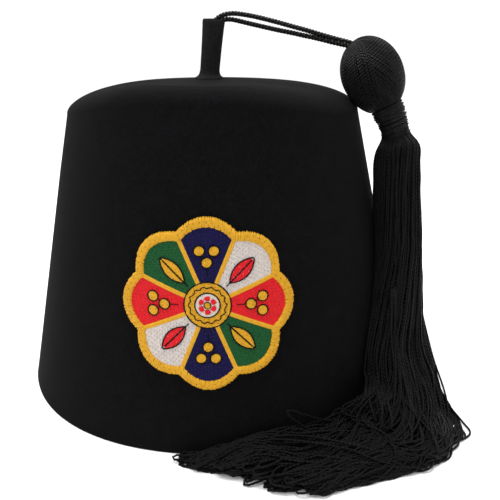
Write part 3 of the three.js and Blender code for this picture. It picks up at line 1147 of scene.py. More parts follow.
# %% Waves, curl and tufts
WAVE_FALL = 0.7
WAVE_RATE = 0.8
CURL_WAVES = (9.0, 26.0)
CURL_SWELL = 0.4
SWELL_LENGTH = 4
TUFT_SECTORS = 13
TUFT_SWING = 0.36
TUFT_WAVES = 7
TUFT_SEED = 40
OUTER_TUFT = 0.72
OUTER_SEED = 100
FOLD_MARGIN = 0.999


def slow_waves(steps, rng, cycles, size):
    """A smooth random run of the given size along a strand."""
    share = np.linspace(0, 1, steps)
    run = np.zeros(steps)
    for n in range(1, cycles + 1):
        height = rng.normal(0, 1.0 / n**WAVE_FALL)
        run += height * np.sin(2 * math.pi * (n * share * WAVE_RATE + rng.random()))
    return size * run


def curl(reach, rng, size):
    """A short wavy set in two directions."""
    runs = []
    for _ in range(2):
        wave = rng.uniform(*CURL_WAVES)
        slow = np.sin(2 * math.pi * (reach / (SWELL_LENGTH * wave) + rng.random()))
        swell = 1 - CURL_SWELL + CURL_SWELL * slow
        runs.append(size * swell * np.sin(2 * math.pi * (reach / wave + rng.random())))
    return runs


def tuft_runs(place, steps):
    """Swings that the strands of one tuft share once they lie on the table."""
    sector = int((math.atan2(place[1], place[0]) / (2 * math.pi) + 0.5) * TUFT_SECTORS)
    outer = int(np.hypot(*place) > OUTER_TUFT)
    rng = np.random.default_rng(TUFT_SEED + sector + OUTER_SEED * outer)
    return [slow_waves(steps, rng, TUFT_WAVES, TUFT_SWING) for _ in range(2)]


def fold_back(run):
    """A run that turns back at -1 and 1 instead of leaving the bundle."""
    run = (run + 1) % 4
    return np.where(run < 2, run - 1, 3 - run) * FOLD_MARGIN


# %% [markdown]
# ## The course of a leg
# All legs share the spine, so what depends only on the spine is worked out once, for every step of a leg.
# A leg is bound at first, then loosens, fans out low on the wall and at last lies on the table. Two runs
# say where a leg is in the bundle: a away from the hat, and b along the wall or, lying, up and down.

# %% Steps of a leg
FIRST_ROW = 1.2
LYING_TOP = 21.0
LYING_LOW = 8.0
LOOSE_ROW = 2.6
LOOSE_ROWS = 2.5
SWING_START = -40.0
SWING_TURN = 12.0
FALL_TOP = 70.0
FALL_DEPTH = 25.0
# number of waves and their size
OWN_WAVES = (6, 0.03)
WANDER_WAVES = (4, 0.4)
LYING_WAVES = (8, 0.18)
used = SPINE_ROW >= FIRST_ROW
LEG_ROW = SPINE_ROW[used]
LEG_CENTRE, LEG_OUT, LEG_SIDE = SPINE_CENTRE[used], SPINE_OUT[used], SPINE_SIDE[used]
BEARING, RADIUS, HEIGHT, ACROSS, ALONG = SPINE[used].T
LYING = smooth_step((LYING_TOP - HEIGHT) / (LYING_TOP - LYING_LOW))
LOOSE = smooth_step((LEG_ROW - LOOSE_ROW) / LOOSE_ROWS)
SWING = 0.5 * LYING + 0.5 * smooth_step((SWING_START - BEARING) / SWING_TURN)
FALLEN = smooth_step((FALL_TOP - HEIGHT) / FALL_DEPTH)


def leg_runs(place, tuft, stray, rng):
    """The runs a and b of a leg, from its place in the bundle."""
    steps = len(LEG_ROW)
    own_a, own_b = (slow_waves(steps, rng, *OWN_WAVES) * LOOSE for _ in range(2))
    turn = slow_waves(steps, rng, *WANDER_WAVES) * LOOSE * stray
    place_a = place[0] * np.cos(turn) - place[1] * np.sin(turn)
    place_b = place[0] * np.sin(turn) + place[1] * np.cos(turn)
    a_run = place_a + own_a + (tuft[0] + slow_waves(steps, rng, *LYING_WAVES)) * SWING
    b_run = place_b + own_b + (tuft[1] + slow_waves(steps, rng, *LYING_WAVES)) * SWING
    return fold_back(a_run), b_run


print(len(LEG_ROW), "steps in a leg")

# %% [markdown]
# ## Hanging and falling
# Freed from the binding, the bundle swells, most on the side away from the hat. Near the table the
# strands fan out along the wall and bulge at the bend, before they turn to lie round the rim.

# %% Hanging legs
NECK_LAST_ROW = 2
NECK_SLANT = 0.2
TOP_BULGE = 0.42
TOP_BULGE_HEIGHT = 107.5
TOP_BULGE_SPREAD = 5.0
TOP_SLANT = 4.0
BULGE_MEAN = 0.55
BEND_BULGE = 3.5
BEND_HEIGHT = 12.0
BEND_SPREAD = 7.0
BEND_END = -50.0
BEND_FADE = 9.0
FALL_HEIGHT = 28.0
FALL_HALF = 22.0
FALL_CLOSE = 20.0


def hanging_path(a_run, b_run):
    """A leg that hangs beside the spine."""
    freed = smooth_step(LEG_ROW - NECK_LAST_ROW - NECK_SLANT * (1 - a_run))
    ease = TOP_BULGE * (BULGE_MEAN + (1 - BULGE_MEAN) * a_run) * freed
    ease = 1 + ease * bell(HEIGHT - TOP_BULGE_HEIGHT - TOP_SLANT * a_run, TOP_BULGE_SPREAD)
    away = LEG_OUT * (ease * ACROSS * a_run)[:, None]
    return LEG_CENTRE + away + LEG_SIDE * (ease * ALONG * b_run)[:, None]


def bend_bulge(a_run):
    bulge = BEND_BULGE * bell(HEIGHT - BEND_HEIGHT, BEND_SPREAD) * (0.5 + 0.5 * a_run)
    return bulge * smooth_step((BEARING - BEND_END) / BEND_FADE)


def fall_place(a_run, b_run):
    """Bearing and radius of a leg that falls beside the wall."""
    radius = RADIUS + ACROSS * a_run + bend_bulge(a_run)
    half = np.where(HEIGHT > FALL_HEIGHT, ALONG, FALL_HALF)
    half = half * (1 - smooth_step((SWING_START - BEARING) / FALL_CLOSE))
    return BEARING + np.degrees(half * b_run / radius), radius


# %% [markdown]
# ## Lying in the pile
# On the table the strands lie in a pile that leans on the wall and thins out to the front.
# A leg's run a gives its share of the pile's width, and its run b the layer it lies in.
# The end of the tassel slants, so the strands near the wall reach furthest.

# %% Lying legs
WALL_CLEARANCE = 0.5
LAST_FULL_BEARING = -76.0
PILE_LIFT = 0.25
PILE_LIFT_BEARING = -84.0
PILE_LIFT_SPREAD = 9.0
PILE_POWERS = (2.4, 0.55)
THINNEST_CHORD = 0.12
CORNER_BEARING = -44.0
CORNER_TRIM = 9.0
CORNER_FADE = 12.0
PILE_INNER = RIM_RADIUS + WALL_CLEARANCE + STRAND_RADIUS
last_outer = np.interp(-LAST_FULL_BEARING, -BEARING, RADIUS + ACROSS)
PILE_OUTER = np.where(BEARING > LAST_FULL_BEARING, RADIUS + ACROSS, last_outer)
PILE_HALF = ALONG * (1 + PILE_LIFT * bell(BEARING - PILE_LIFT_BEARING, PILE_LIFT_SPREAD))


def pile_place(a_run, b_run):
    """Share of the pile's width, half by area and half by breadth of the bundle, and height in the pile."""
    even = 0.5 + (np.arcsin(a_run) + a_run * np.sqrt(1 - a_run * a_run)) / math.pi
    share = 0.5 * even + 0.25 * (a_run + 1)
    chord = np.sqrt(np.maximum(1 - a_run * a_run, THINNEST_CHORD))
    layer = np.clip(0.5 - 0.5 * b_run / chord, 0, 1)
    top = 2 * PILE_HALF * (1 - share ** PILE_POWERS[0]) ** PILE_POWERS[1]
    return share, STRAND_RADIUS + layer * np.maximum(top - 2 * STRAND_RADIUS, 0)


def lying_path(a_run, b_run):
    """A leg that falls to the table and lies in the pile, and its radius in the pile."""
    fall_bearing, fall_radius = fall_place(a_run, b_run)
    share, rise = pile_place(a_run, b_run)
    trim = CORNER_TRIM * smooth_step((fall_bearing - CORNER_BEARING) / CORNER_FADE)
    radius = PILE_INNER + share * (PILE_OUTER + bend_bulge(a_run) - trim - PILE_INNER)
    settled = fall_radius + (radius - fall_radius) * LYING
    return around(fall_bearing, settled, HEIGHT + (rise - HEIGHT) * LYING), radius


def end_bearing(radius):
    """Bearing at which the tassel's slanting end is reached, for a distance from the axis."""
    last = np.array([row for row in TASSEL_SPINE if row[0] <= LAST_FULL_BEARING])[::-1]
    return np.interp(radius, last[:, 1] + last[:, 3], last[:, 0])


# %% [markdown]
# ## One leg
# A leg blends from its hanging course to its lying one, takes on its curl and ends where its length runs
# out. At last it is pushed out of the felt and up from the table, as the real thread is.

# %% Lay a leg
LEG_STEPS = 110
CURL_SIZE = 0.22
CURL_LYING = 0.9
END_MARGIN = 1.2


def keep_outside(points, clearance):
    """Points pushed out of the felt and up from the table."""
    x, y, z = np.moveaxis(points, -1, 0)
    lean = CROWN_LEAN * z / CORNER_HEIGHT
    x = x - lean
    least = (wall_radius(z) + WALL_CLEARANCE + clearance) * squareness(z, np.arctan2(y, x))
    scale = np.maximum(1, least / np.hypot(x, y))
    return np.stack([x * scale + lean, y * scale, np.maximum(z, clearance)], axis=-1)


def leg_path(place, tuft, short_by, stray, rng):
    """One leg of a strand from under the neck to its end on the table."""
    a_run, b_run = leg_runs(place, tuft, stray, rng)
    hanging = hanging_path(a_run, b_run)
    lying, radius = lying_path(a_run, b_run)
    path = hanging + (lying - hanging) * FALLEN[:, None]
    size = (1 + stray) * (CURL_SIZE + (CURL_LYING - CURL_SIZE) * LYING) * LOOSE
    first, second = curl(reach_along(path), rng, size)
    path = path + first[:, None] * LEG_OUT + second[:, None] * LEG_SIDE
    ended = BEARING < end_bearing(radius) + short_by + END_MARGIN
    last = int(np.argmax(ended)) or len(path)
    return even_steps(keep_outside(path[:last], STRAND_RADIUS), LEG_STEPS)


# %% [markdown]
# ## Folded ends
# The two legs of a strand lie in neighbouring places, and a small open loop joins their ends.
# A few strands stray: they wander round the bundle and curl more. Each ends short by its own seeded amount.

# %% Fold the strands
STRAY_SHARE = 0.09
SHORT_BY = 3.0
LOOP_OPEN = (0.8, 2.2)
LOOP_LENGTH = 2.2
LOOP_WIDTH = 1.2
LOOP_SINK = 0.4
LOOP_START = 0.25
LOOP_STEPS = 7
SMOOTHING = 2
STRAND_STEPS = 2 * LEG_STEPS + 6


def loop_tip(first, second, rng):
    """Points of the loop that joins the ends of two legs."""
    forward = unit(first[-1] - first[-4] + second[-1] - second[-4])
    sideways = unit(np.cross(forward, UP))
    if np.dot(first[-1] - second[-1], sideways) < 0:
        sideways = -sideways
    open_by = rng.uniform(*LOOP_OPEN)
    turn = np.linspace(LOOP_START, math.pi - LOOP_START, LOOP_STEPS)[:, None]
    ahead = LOOP_LENGTH * open_by * np.sin(turn) * forward
    tip = (first[-1] + second[-1]) / 2 + ahead + LOOP_WIDTH * open_by * np.cos(turn) * sideways
    tip[:, 2] = np.maximum(STRAND_RADIUS, tip[:, 2] - LOOP_SINK * np.sin(turn[:, 0]))
    return tip


def lay_loop(first, second, rng):
    """A strand's two legs from neighbouring places, folded into one path."""
    tuft = tuft_runs(first, len(LEG_ROW))
    short_by = abs(rng.normal(0, SHORT_BY))
    stray = float(rng.random() < STRAY_SHARE)
    ahead, back = (leg_path(place, tuft, short_by, stray, rng) for place in (first, second))
    path = np.vstack([ahead[:-2], loop_tip(ahead, back, rng), back[-3::-1]])
    for _ in range(SMOOTHING):
        path[1:-1] = 0.25 * path[:-2] + 0.5 * path[1:-1] + 0.25 * path[2:]
    return even_steps(keep_outside(path, STRAND_RADIUS), STRAND_STEPS)


# %% [markdown]
# ## Strands across the bend
# Where the bundle bends, some strands leave it, lie across it and go under the pile again.
# Two loops stray further: one off the corner, and one that stands on the wall.
# Each group has one drawn course, and every strand of it is shifted by its own seeded amount.

# %% Courses across the bend
STRAY_LOOPS = [
    # bearing, radius, height
    [
        (-30, 112, 6), (-34, 119, 2.5), (-37, 126.3, 1), (-39.5, 131.5, 0.7),
        (-43, 129.8, 0.7), (-46.5, 123, 1.5), (-50, 116, 4),
    ],
    [
        (-62, 97, 9), (-66, 95, 11.5), (-70, 93.4, 14.5), (-73.2, 92.4, 17),
        (-74.2, 92.8, 16), (-72, 95, 12.5), (-68, 98, 8),
    ],
]
MIDDLE_COURSE = [
    # bearing, radius, height
    (-32, 92, 54), (-37, 97, 37), (-42, 104.5, 24), (-47.5, 111.5, 16),
    (-53, 113, 12), (-60, 110.5, 9.5), (-67, 107, 6), (-74, 105, 2),
]
CORNER_COURSE = [
    # bearing, radius, height
    (-22.5, 94, 52), (-26.5, 101, 34), (-31, 107, 20), (-36, 114.5, 10),
    (-41.5, 119.5, 5), (-47.5, 121, 3.5), (-54, 119, 4), (-61, 115, 3),
]
OUTWARD_COURSE = [
    # bearing, radius, height
    (-47, 98, 10), (-51.5, 102, 14.2), (-56.5, 107.5, 13.2),
    (-61.5, 112, 9.8), (-66.5, 115.5, 6.5), (-71, 116, 2),
]
INWARD_COURSE = [
    # bearing, radius, height
    (-50, 126, 1.5), (-55, 121, 6.8), (-61, 113.5, 10.2), (-68, 105.5, 11.6),
    (-75, 100, 10.2), (-82, 97, 6), (-88, 96, 2),
]
BRIDGES = [
    # how many, spread in bearing, spread in radius, course
    (54, 6.0, 8.5, MIDDLE_COURSE),
    (22, 2.6, 4.0, CORNER_COURSE),
    (11, 6.0, 4.0, OUTWARD_COURSE),
    (9, 8.0, 4.0, INWARD_COURSE),
]
print(sum(bridge[0] for bridge in BRIDGES), "strands across the bend")

# %% [markdown]
# ## Laying the skirt
# A crossing strand that is shifted outward lies lower, because the pile slopes down to its edge.
# Its ends nearly keep their radius and height, so that they stay hidden in the bundle and under the pile.
# The folded strands go into three pieces of equal count, because one piece would hold too many triangles.

# %% Lay the strands
SKIRT_SEED = 5
CROSSING_STEPS = 64
COURSE_PARTS = 12
ARCH_POWER = 0.7
BEARING_SHIFT = (-1, 0.8)
SHIFT_FALL = 0.4
BEARING_NOISE = 0.5
RADIUS_RISE = 0.6
RADIUS_NOISE = 0.3
OUTSIDE_DROP = 2.5
DROP = (0, 1.2)
SKIRT_PIECES = ("skirt_strands_outer", "skirt_strands_middle", "skirt_strands_inner")


def crossing_strand(rows):
    path = around(*smooth_rows(rows, COURSE_PARTS).T)
    return even_steps(keep_outside(path, STRAND_RADIUS), CROSSING_STEPS)


def bridge_strand(spread, depth, rows, rng):
    """A strand that leaves the bundle above the bend, lies across it and goes under the pile."""
    rows = np.array(rows, float)
    share = np.linspace(0, 1, len(rows))
    arch = np.sin(math.pi * share) ** ARCH_POWER
    across = rng.uniform(-1, 1)
    shift = spread * rng.uniform(*BEARING_SHIFT) * (1 - SHIFT_FALL * share)
    rows[:, 0] += shift + rng.normal(0, BEARING_NOISE, len(rows))
    shift = depth * across * arch * smooth_step(share / RADIUS_RISE)
    rows[:, 1] += shift + rng.normal(0, RADIUS_NOISE, len(rows))
    rows[:, 2] -= (OUTSIDE_DROP * max(across, 0) + rng.uniform(*DROP)) * arch
    return crossing_strand(rows)


def add_strands(name, paths, nodes=()):
    vertices, faces, uv = tube_mesh(paths, STRAND_RADIUS, STRAND_SIDES)
    add_piece(name, vertices, faces, STRAND_THREAD, nodes, uv)


def make_skirt():
    rng = np.random.default_rng(SKIRT_SEED)
    places = bundle_places(rng)
    loops = [lay_loop(first, second, rng) for first, second in zip(places[::2], places[1::2])]
    lengths = [path_length(loop) / 2 for loop in loops]
    print(f"{len(loops)} folded strands hang and lie {min(lengths):.0f} to {max(lengths):.0f} mm")
    crossing = [crossing_strand(rows) for rows in STRAY_LOOPS]
    for count, *bridge in BRIDGES:
        crossing += [bridge_strand(*bridge, rng) for _ in range(count)]
    parts = np.array_split(np.array(loops), len(SKIRT_PIECES))
    add_strands(SKIRT_PIECES[0], parts[0], ["tassel_skirt"])
    for name, part in zip(SKIRT_PIECES[1:], parts[1:]):
        add_strands(name, part)
    add_strands("skirt_strands_crossing", np.array(crossing))


make_skirt()

# %% [markdown]
# ## The patch's surface
# The patch is sewn flat and then bent to the wall, so it is easiest to design it on paper and bend every
# point. On paper, u runs to the right, v runs up and lift is the height above the felt, all in
# millimetres. The same bend as in the part places the point, so whatever is stitched on paper lies snugly
# on the hat.

# %% Bend paper to the wall
PATCH_BEARING = -93.0
PATCH_HEIGHT = 58.8
PATCH_RADIUS = 33.0
PATCH_LOBES = 8
LOBE_DEPTH = 3.6
BORDER_WIDTH = 3.4
PATCH_GAP = 0.32
CLOTH_TOP = 1.5
WALL_SLOPE = math.atan2(RIM_RADIUS - CORNER_RADIUS, CORNER_HEIGHT)


def patch_point(u, v, lift):
    height = PATCH_HEIGHT + v * math.cos(WALL_SLOPE) + lift * math.sin(WALL_SLOPE)
    bearing = PATCH_BEARING + np.degrees(u / wall_radius(height))
    return settle(around(bearing, wall_radius(height) + lift / math.cos(WALL_SLOPE), height))


def scallop(angle):
    """Inward dip of the edge between two lobes."""
    return LOBE_DEPTH * (1 - np.abs(np.cos(PATCH_LOBES * angle / 2)))


def border_middle(angle):
    return PATCH_RADIUS - BORDER_WIDTH / 2 - scallop(angle)


def field_edge(angle):
    """Radius at which the border starts."""
    return PATCH_RADIUS - BORDER_WIDTH - scallop(angle)


print(f"patch {2 * PATCH_RADIUS:.0f} mm across, its middle {PATCH_HEIGHT:.1f} mm up the wall")

# %% [markdown]
# ## Embroidery thread
# Polyester embroidery thread is glossy, and every stitch shines along its back, so a filled shape looks
# ribbed. Each colour is one material: noise varies the dye a little, and the thread's filaments give bump
# and gloss.

# %% Make embroidery materials
FILAMENTS_ROUND = 3.0
FILAMENTS_PER_MM = 2.2
FILAMENT_BUMP = 0.35
FILAMENT_DEPTH = 0.06
FILAMENT_GLOSS = -0.05
STITCH_ROUGHNESS = 0.48
STITCH_DYE_SCALE = 900.0
DARKEST_DYE = 0.82


def make_stitch_thread(name, colour, shine=0.2, sheen=0.02):
    material = new_material(name)
    shader = principled(material)
    shader.inputs["Specular IOR Level"].default_value = shine
    shader.inputs["Sheen Weight"].default_value = sheen
    filament = twist_ridge(material, FILAMENTS_ROUND, FILAMENTS_PER_MM)
    feed_bump(material, filament, FILAMENT_BUMP, FILAMENT_DEPTH)
    dark = tuple(DARKEST_DYE * c for c in colour)
    feed_colour(material, noise_node(material, STITCH_DYE_SCALE), dark, colour)
    feed_roughness(material, filament, FILAMENT_GLOSS, STITCH_ROUGHNESS)
    return material


THREAD = {
    "gold": make_stitch_thread("gold_thread", (0.64, 0.33, 0.014)),
    "red": make_stitch_thread("red_thread", (0.66, 0.0075, 0.014)),
    "navy": make_stitch_thread("navy_thread", (0.0068, 0.0056, 0.054), 0.1, 0.0),
    "green": make_stitch_thread("green_thread", (0.01, 0.086, 0.026), 0.1, 0.0),
    "white": make_stitch_thread("white_thread", (0.6, 0.54, 0.5)),
    "black": make_stitch_thread("black_thread", (0.003, 0.003, 0.0035), 0.08, 0.0),
}
print("embroidery threads:", ", ".join(THREAD))

# %% [markdown]
# ## One stitch
# Each stitch here is a low closed bar with a rounded back that dips at both ends, where the needle went
# through. One helper turns a list of stitch ends on paper into such bars, and the rest only works out
# where the ends are.

# %% Stitches as bars
STITCH_STEPS = np.array((0.0, 0.12, 0.35, 0.65, 0.88, 1.0))
STITCH_DIP = np.array((0.1, 0.75, 1.0, 1.0, 0.75, 0.1))
STITCH_BACK = np.array([(-0.5, 0.0), (-0.34, 0.68), (0.0, 1.0), (0.34, 0.68), (0.5, 0.0)])


def stitch_points(start, way, width, lift, height):
    """Rings of points on the hat, stitches x steps x points round the back."""
    across = unit(np.stack([-way[:, 1], way[:, 0]], axis=1)) * width
    middle = start[:, None] + way[:, None] * STITCH_STEPS[:, None]
    flat = middle[:, :, None] + across[:, None, None] * STITCH_BACK[:, 0, None]
    return patch_point(flat[..., 0], flat[..., 1], lift + height * STITCH_DIP[:, None] * STITCH_BACK[:, 1])


def stitch_uv(length, sides):
    """Turn round each stitch and distance along it, for each corner of each face and of both caps."""
    shape = (len(length), len(STITCH_STEPS), sides + 1)
    u = np.broadcast_to(np.arange(sides + 1) / sides, shape)
    v = np.broadcast_to((length[:, None] * STITCH_STEPS)[:, :, None], shape)
    uv = np.stack([u, v], axis=-1)
    corners = [uv[:, :-1, :-1], uv[:, 1:, :-1], uv[:, 1:, 1:], uv[:, :-1, 1:]]
    return np.vstack([np.stack(corners, axis=3).reshape(-1, 2), np.zeros((2 * len(length) * sides, 2))])


def stitch_bars(ends, width, lift, height):
    """Closed rounded bars from stitch ends (stitches x 2 x 2 on paper)."""
    start, way = ends[:, 0], ends[:, 1] - ends[:, 0]
    points = stitch_points(start, way, width, lift, height)
    index = np.arange(points[..., 0].size).reshape(points.shape[:3])
    after = np.roll(index, -1, axis=2)
    quads = np.stack([index[:, :-1], index[:, 1:], after[:, 1:], after[:, :-1]], axis=-1)
    caps = index[:, 0].tolist() + index[:, -1, ::-1].tolist()
    corner_uv = stitch_uv(np.linalg.norm(way, axis=1), len(STITCH_BACK))
    return points.reshape(-1, 3), quads.reshape(-1, 4).tolist() + caps, corner_uv


# %% [markdown]
# ## Rows of stitches
# A machine fills a shape with rows of straight stitches whose ends step from row to row.
# It sews a bar with stitches straight across it, and draws a line with short stitches one after another.
# The three helpers give the ends of such stitches, and a bar or line is a list of points on paper.

# %% Stitch ends
FIELD_REACH = 31.0
SCAN_STEP = 0.2
SHORTEST_ROW = 0.5
SHORTEST_END = 0.6
FIRST_STITCH = 0.35
ROW_STAGGER = 0.618
NEEDLE_HOLE = 0.05
LINE_OVERLAP = 0.08


def row_knots(low, high, row, longest):
    """Where the needle goes through along one row of a filled shape."""
    first = low + longest * (FIRST_STITCH + ROW_STAGGER * row % 1.0)
    return np.concatenate([[low], np.arange(first, high - SHORTEST_END, longest), [high]])


def fill_ends(inside, direction, pitch, longest):
    """Stitch ends that fill a shape with parallel rows."""
    way = np.array((math.cos(direction), math.sin(direction)))
    across = np.array((-way[1], way[0]))
    reach = np.arange(-FIELD_REACH, FIELD_REACH, SCAN_STEP)
    ends = []
    for row, offset in enumerate(np.arange(-FIELD_REACH, FIELD_REACH, pitch)):
        line = reach[:, None] * way + offset * across
        within = inside(line[:, 0], line[:, 1]).astype(int)
        change = np.flatnonzero(np.diff(np.concatenate([[0], within, [0]])))
        for low, high in zip(reach[change[::2]], reach[change[1::2] - 1]):
            if high - low >= SHORTEST_ROW:
                knots = row_knots(low, high, row, longest)
                pairs = np.stack([knots[:-1], knots[1:] - NEEDLE_HOLE], axis=1)
                ends.append(pairs[..., None] * way + offset * across)
    return np.vstack(ends)


def column_ends(curve, width, pitch):
    """Stitch ends straight across a line, side by side along it."""
    reach = reach_along(curve)
    middle = points_at(curve, reach, np.arange(0, reach[-1], pitch))
    way = unit(np.gradient(middle, axis=0))
    across = np.stack([-way[:, 1], way[:, 0]], axis=1) * width / 2
    return np.stack([middle - across, middle + across], axis=1)


def line_ends(curve, longest):
    """Stitch ends one after another along a line."""
    knots = even_steps(curve, max(2, int(round(path_length(curve) / longest)) + 1))
    overlap = LINE_OVERLAP * (knots[1:] - knots[:-1])
    return np.stack([knots[:-1] - overlap, knots[1:] + overlap], axis=1)


# %% [markdown]
# ## Design of the patch
# The patch is a plain rosette: eight petals in four colours, parted by gold bars, round a gold disc with
# a seed head. Every second petal carries a leaf and the others three berries, each outlined in black. The
# shapes are functions of u and v that say what is inside, which is all that the filling rows need.

# %% Petals and discs
DISC_RADIUS = 8.8
FIELD_OVERLAP = 0.5
CIRCLE_STEPS = 40


def on_circle(turn):
    return np.stack([np.cos(turn), np.sin(turn)], axis=-1)


def petal_turn(k):
    return 2 * math.pi * k / PATCH_LOBES


def petal_axes(k):
    return on_circle(petal_turn(k)), on_circle(petal_turn(k) + math.pi / 2)


def petal_inside(k):
    def inside(u, v):
        radius, angle = np.hypot(u, v), np.arctan2(v, u)
        off = np.abs((angle - petal_turn(k) + math.pi) % (2 * math.pi) - math.pi)
        low, high = DISC_RADIUS - FIELD_OVERLAP, field_edge(angle) + FIELD_OVERLAP
        return (off < math.pi / PATCH_LOBES) & (radius > low) & (radius < high)

    return inside


def disc_inside(centre, radius):
    return lambda u, v: np.hypot(u - centre[0], v - centre[1]) < radius


def disc_outline(centre, radius):
    return centre + radius * on_circle(np.linspace(0, 2 * math.pi, CIRCLE_STEPS))


# %% [markdown]
# ## Leaves and berries
# A leaf is two halves with a rib between them, and the rows of each half slope up to the rib, as veins do.
# The black stalks of three berries meet in the innermost one.

# %% Leaves and berries
LEAF_MIDDLE = 18.4
LEAF_HALF_LENGTH = 6.6
LEAF_HALF_WIDTH = 2.9
LEAF_STEPS = 30
RIB_HALF = 0.12
RIB_STALK = 1.6
RIB_END = 0.75
# reach along the petal, offset across it
BERRIES = [(16.2, 0.0), (20.6, -2.75), (20.6, 2.75)]


def leaf_half(k, side):
    """Inside of one half of a leaf, on one side of its rib."""
    along, across = petal_axes(k)

    def inside(u, v):
        share = (u * along[0] + v * along[1] - LEAF_MIDDLE) / LEAF_HALF_LENGTH
        off = side * (u * across[0] + v * across[1])
        return (np.abs(share) < 1) & (off > RIB_HALF) & (off < LEAF_HALF_WIDTH * (1 - share**2))

    return inside


def leaf_outline(k):
    along, across = petal_axes(k)
    share = np.linspace(-1, 1, LEAF_STEPS)
    middle = (LEAF_MIDDLE + LEAF_HALF_LENGTH * share)[:, None] * along
    bulge = (LEAF_HALF_WIDTH * (1 - share**2))[:, None] * across
    return np.vstack([middle + bulge, (middle - bulge)[::-1]])


def leaf_rib(k):
    along, _ = petal_axes(k)
    first = LEAF_MIDDLE - LEAF_HALF_LENGTH - RIB_STALK
    return np.array([along * first, along * (LEAF_MIDDLE + RIB_END * LEAF_HALF_LENGTH)])


def berry_places(k):
    along, across = petal_axes(k)
    return [reach * along + off * across for reach, off in BERRIES]


# %% [markdown]
# ## Sewing
# Work goes from the ground up, as on the machine: fields first, then gold bars, then motifs, then black
# outlines. Each layer is laid a few tenths of a millimetre higher than the one before, so upper stitches
# really cover lower ones. The stitches of each colour are collected, and made into one piece when all are
# sewn.

# %% Layers of stitches
FIELD_LIFT = CLOTH_TOP - 0.02
MOTIF_LIFT = FIELD_LIFT + 0.22
LINE_LIFT = FIELD_LIFT + 0.42
THREAD_WIDTH = 0.52
THREAD_HEIGHT = 0.34
# pitch of the rows, longest stitch
FIELD_ROWS = (0.45, 4.6)
MOTIF_ROWS = (0.4, 5.0)
FINE_ROWS = (0.34, 5.0)
OUTLINE_WIDTH = 0.5
FINE_LINE = 1.1
sewn = {colour: [] for colour in THREAD}


def sew(colour, ends, lift, width=THREAD_WIDTH, height=THREAD_HEIGHT):
    sewn[colour].append(stitch_bars(ends, width, lift, height))


def sew_fill(colour, inside, direction, rows, lift, width=THREAD_WIDTH):
    sew(colour, fill_ends(inside, direction, *rows), lift, width)


def sew_line(curve, longest, lift=LINE_LIFT, width=OUTLINE_WIDTH):
    sew("black", line_ends(curve, longest), lift, width)


# %% [markdown]
# ## Sewing the petals
# The rows of each petal run at the same slant to its own middle, so neighbouring petals catch the light
# differently. A gold bar covers the joint between two petals, and then the leaf or the berries go on top.

# %% Sew the petals
PETAL_COLOURS = ("red", "white", "navy", "green")
PETAL_SLANT = math.radians(62)
BAR_WIDTH = 1.7
BAR_PITCH = 0.4
BAR_OVERLAP = 0.6
VEIN_SLANT = math.radians(38)
LEAF_LINE = 1.3
STALK_LINE = 1.5
RIB_WIDTH = 0.45
STALK_START = 11.0
STALK_WIDTH = 0.36
BERRY_RADIUS = 2.05
BERRY_SLANT = 0.6
BERRY_LIFT = MOTIF_LIFT + 0.06


def sew_bar(valley):
    reach = np.array((DISC_RADIUS - BAR_OVERLAP, field_edge(valley) + BAR_OVERLAP))
    bar = reach[:, None] * on_circle(valley)
    sew("gold", column_ends(bar, BAR_WIDTH, BAR_PITCH), MOTIF_LIFT)


def sew_leaf(k, colour):
    for side in (1, -1):
        sew_fill(colour, leaf_half(k, side), petal_turn(k) + side * VEIN_SLANT, MOTIF_ROWS, MOTIF_LIFT)
    sew_line(leaf_outline(k), LEAF_LINE)
    sew_line(leaf_rib(k), STALK_LINE, width=RIB_WIDTH)


def sew_berries(k, colour):
    along, _ = petal_axes(k)
    places = berry_places(k)
    for start, place in zip((along * STALK_START, places[0], places[0]), places):
        sew_line(np.array([start, place]), STALK_LINE, MOTIF_LIFT, STALK_WIDTH)
    for place in places:
        berry = disc_inside(place, BERRY_RADIUS)
        sew_fill(colour, berry, petal_turn(k) + BERRY_SLANT, MOTIF_ROWS, BERRY_LIFT)
        sew_line(disc_outline(place, BERRY_RADIUS), FINE_LINE)


for k in range(PATCH_LOBES):
    field = PETAL_COLOURS[k % len(PETAL_COLOURS)]
    sew_fill(field, petal_inside(k), petal_turn(k) + PETAL_SLANT, FIELD_ROWS, FIELD_LIFT)
    sew_bar(petal_turn(k + 0.5))
    if k % 2:
        sew_leaf(k, "red" if field == "white" else "gold")
    else:
        sew_berries(k, "gold")
print(PATCH_LOBES, "petals sewn")

# %% [markdown]
# ## Sewing the middle
# The gold disc carries a rippled black line, and a white seed head with six red seeds round a gold one.
# Short black stitches on the border hold the patch to the felt.

# %% Sew the middle and the holding stitches
MIDDLE = np.zeros(2)
DISC_SLANT = math.radians(25)
DISC_LINE = 1.4
SEED_HEAD_RADIUS = 4.7
SEED_HEAD_SLANT = math.radians(-30)
SEED_HEAD_LIFT = MOTIF_LIFT + 0.16
SEED_HEAD_LINE_LIFT = LINE_LIFT + 0.1
RIPPLE_RADIUS = 6.8
RIPPLE_DEPTH = 0.5
RIPPLE_COUNT = 14
RIPPLE_STEPS = 120
RIPPLE_WIDTH = 0.42
SEED_COUNT = 6
SEED_REACH = 2.6
SEED_RADIUS = 1.15
SEED_LIFT = LINE_LIFT + 0.2
SEED_WIDTH = 0.44
CORE_SEED_RADIUS = 1.25
CORE_SEED_SLANT = 0.4
CORE_LINE_RADIUS = 1.3
CORE_LINE = 0.8
CORE_LINE_LIFT = LINE_LIFT + 0.26
CORE_LINE_WIDTH = 0.36
HOLDING_COUNT = 84
HOLDING_SWING = 0.5
HOLDING_WAVES = 7
HOLDING_HALF = 0.32
HOLDING_SLANT = 0.8
HOLDING_LIFT = 2.32
HOLDING_WIDTH = 0.26
HOLDING_HEIGHT = 0.2


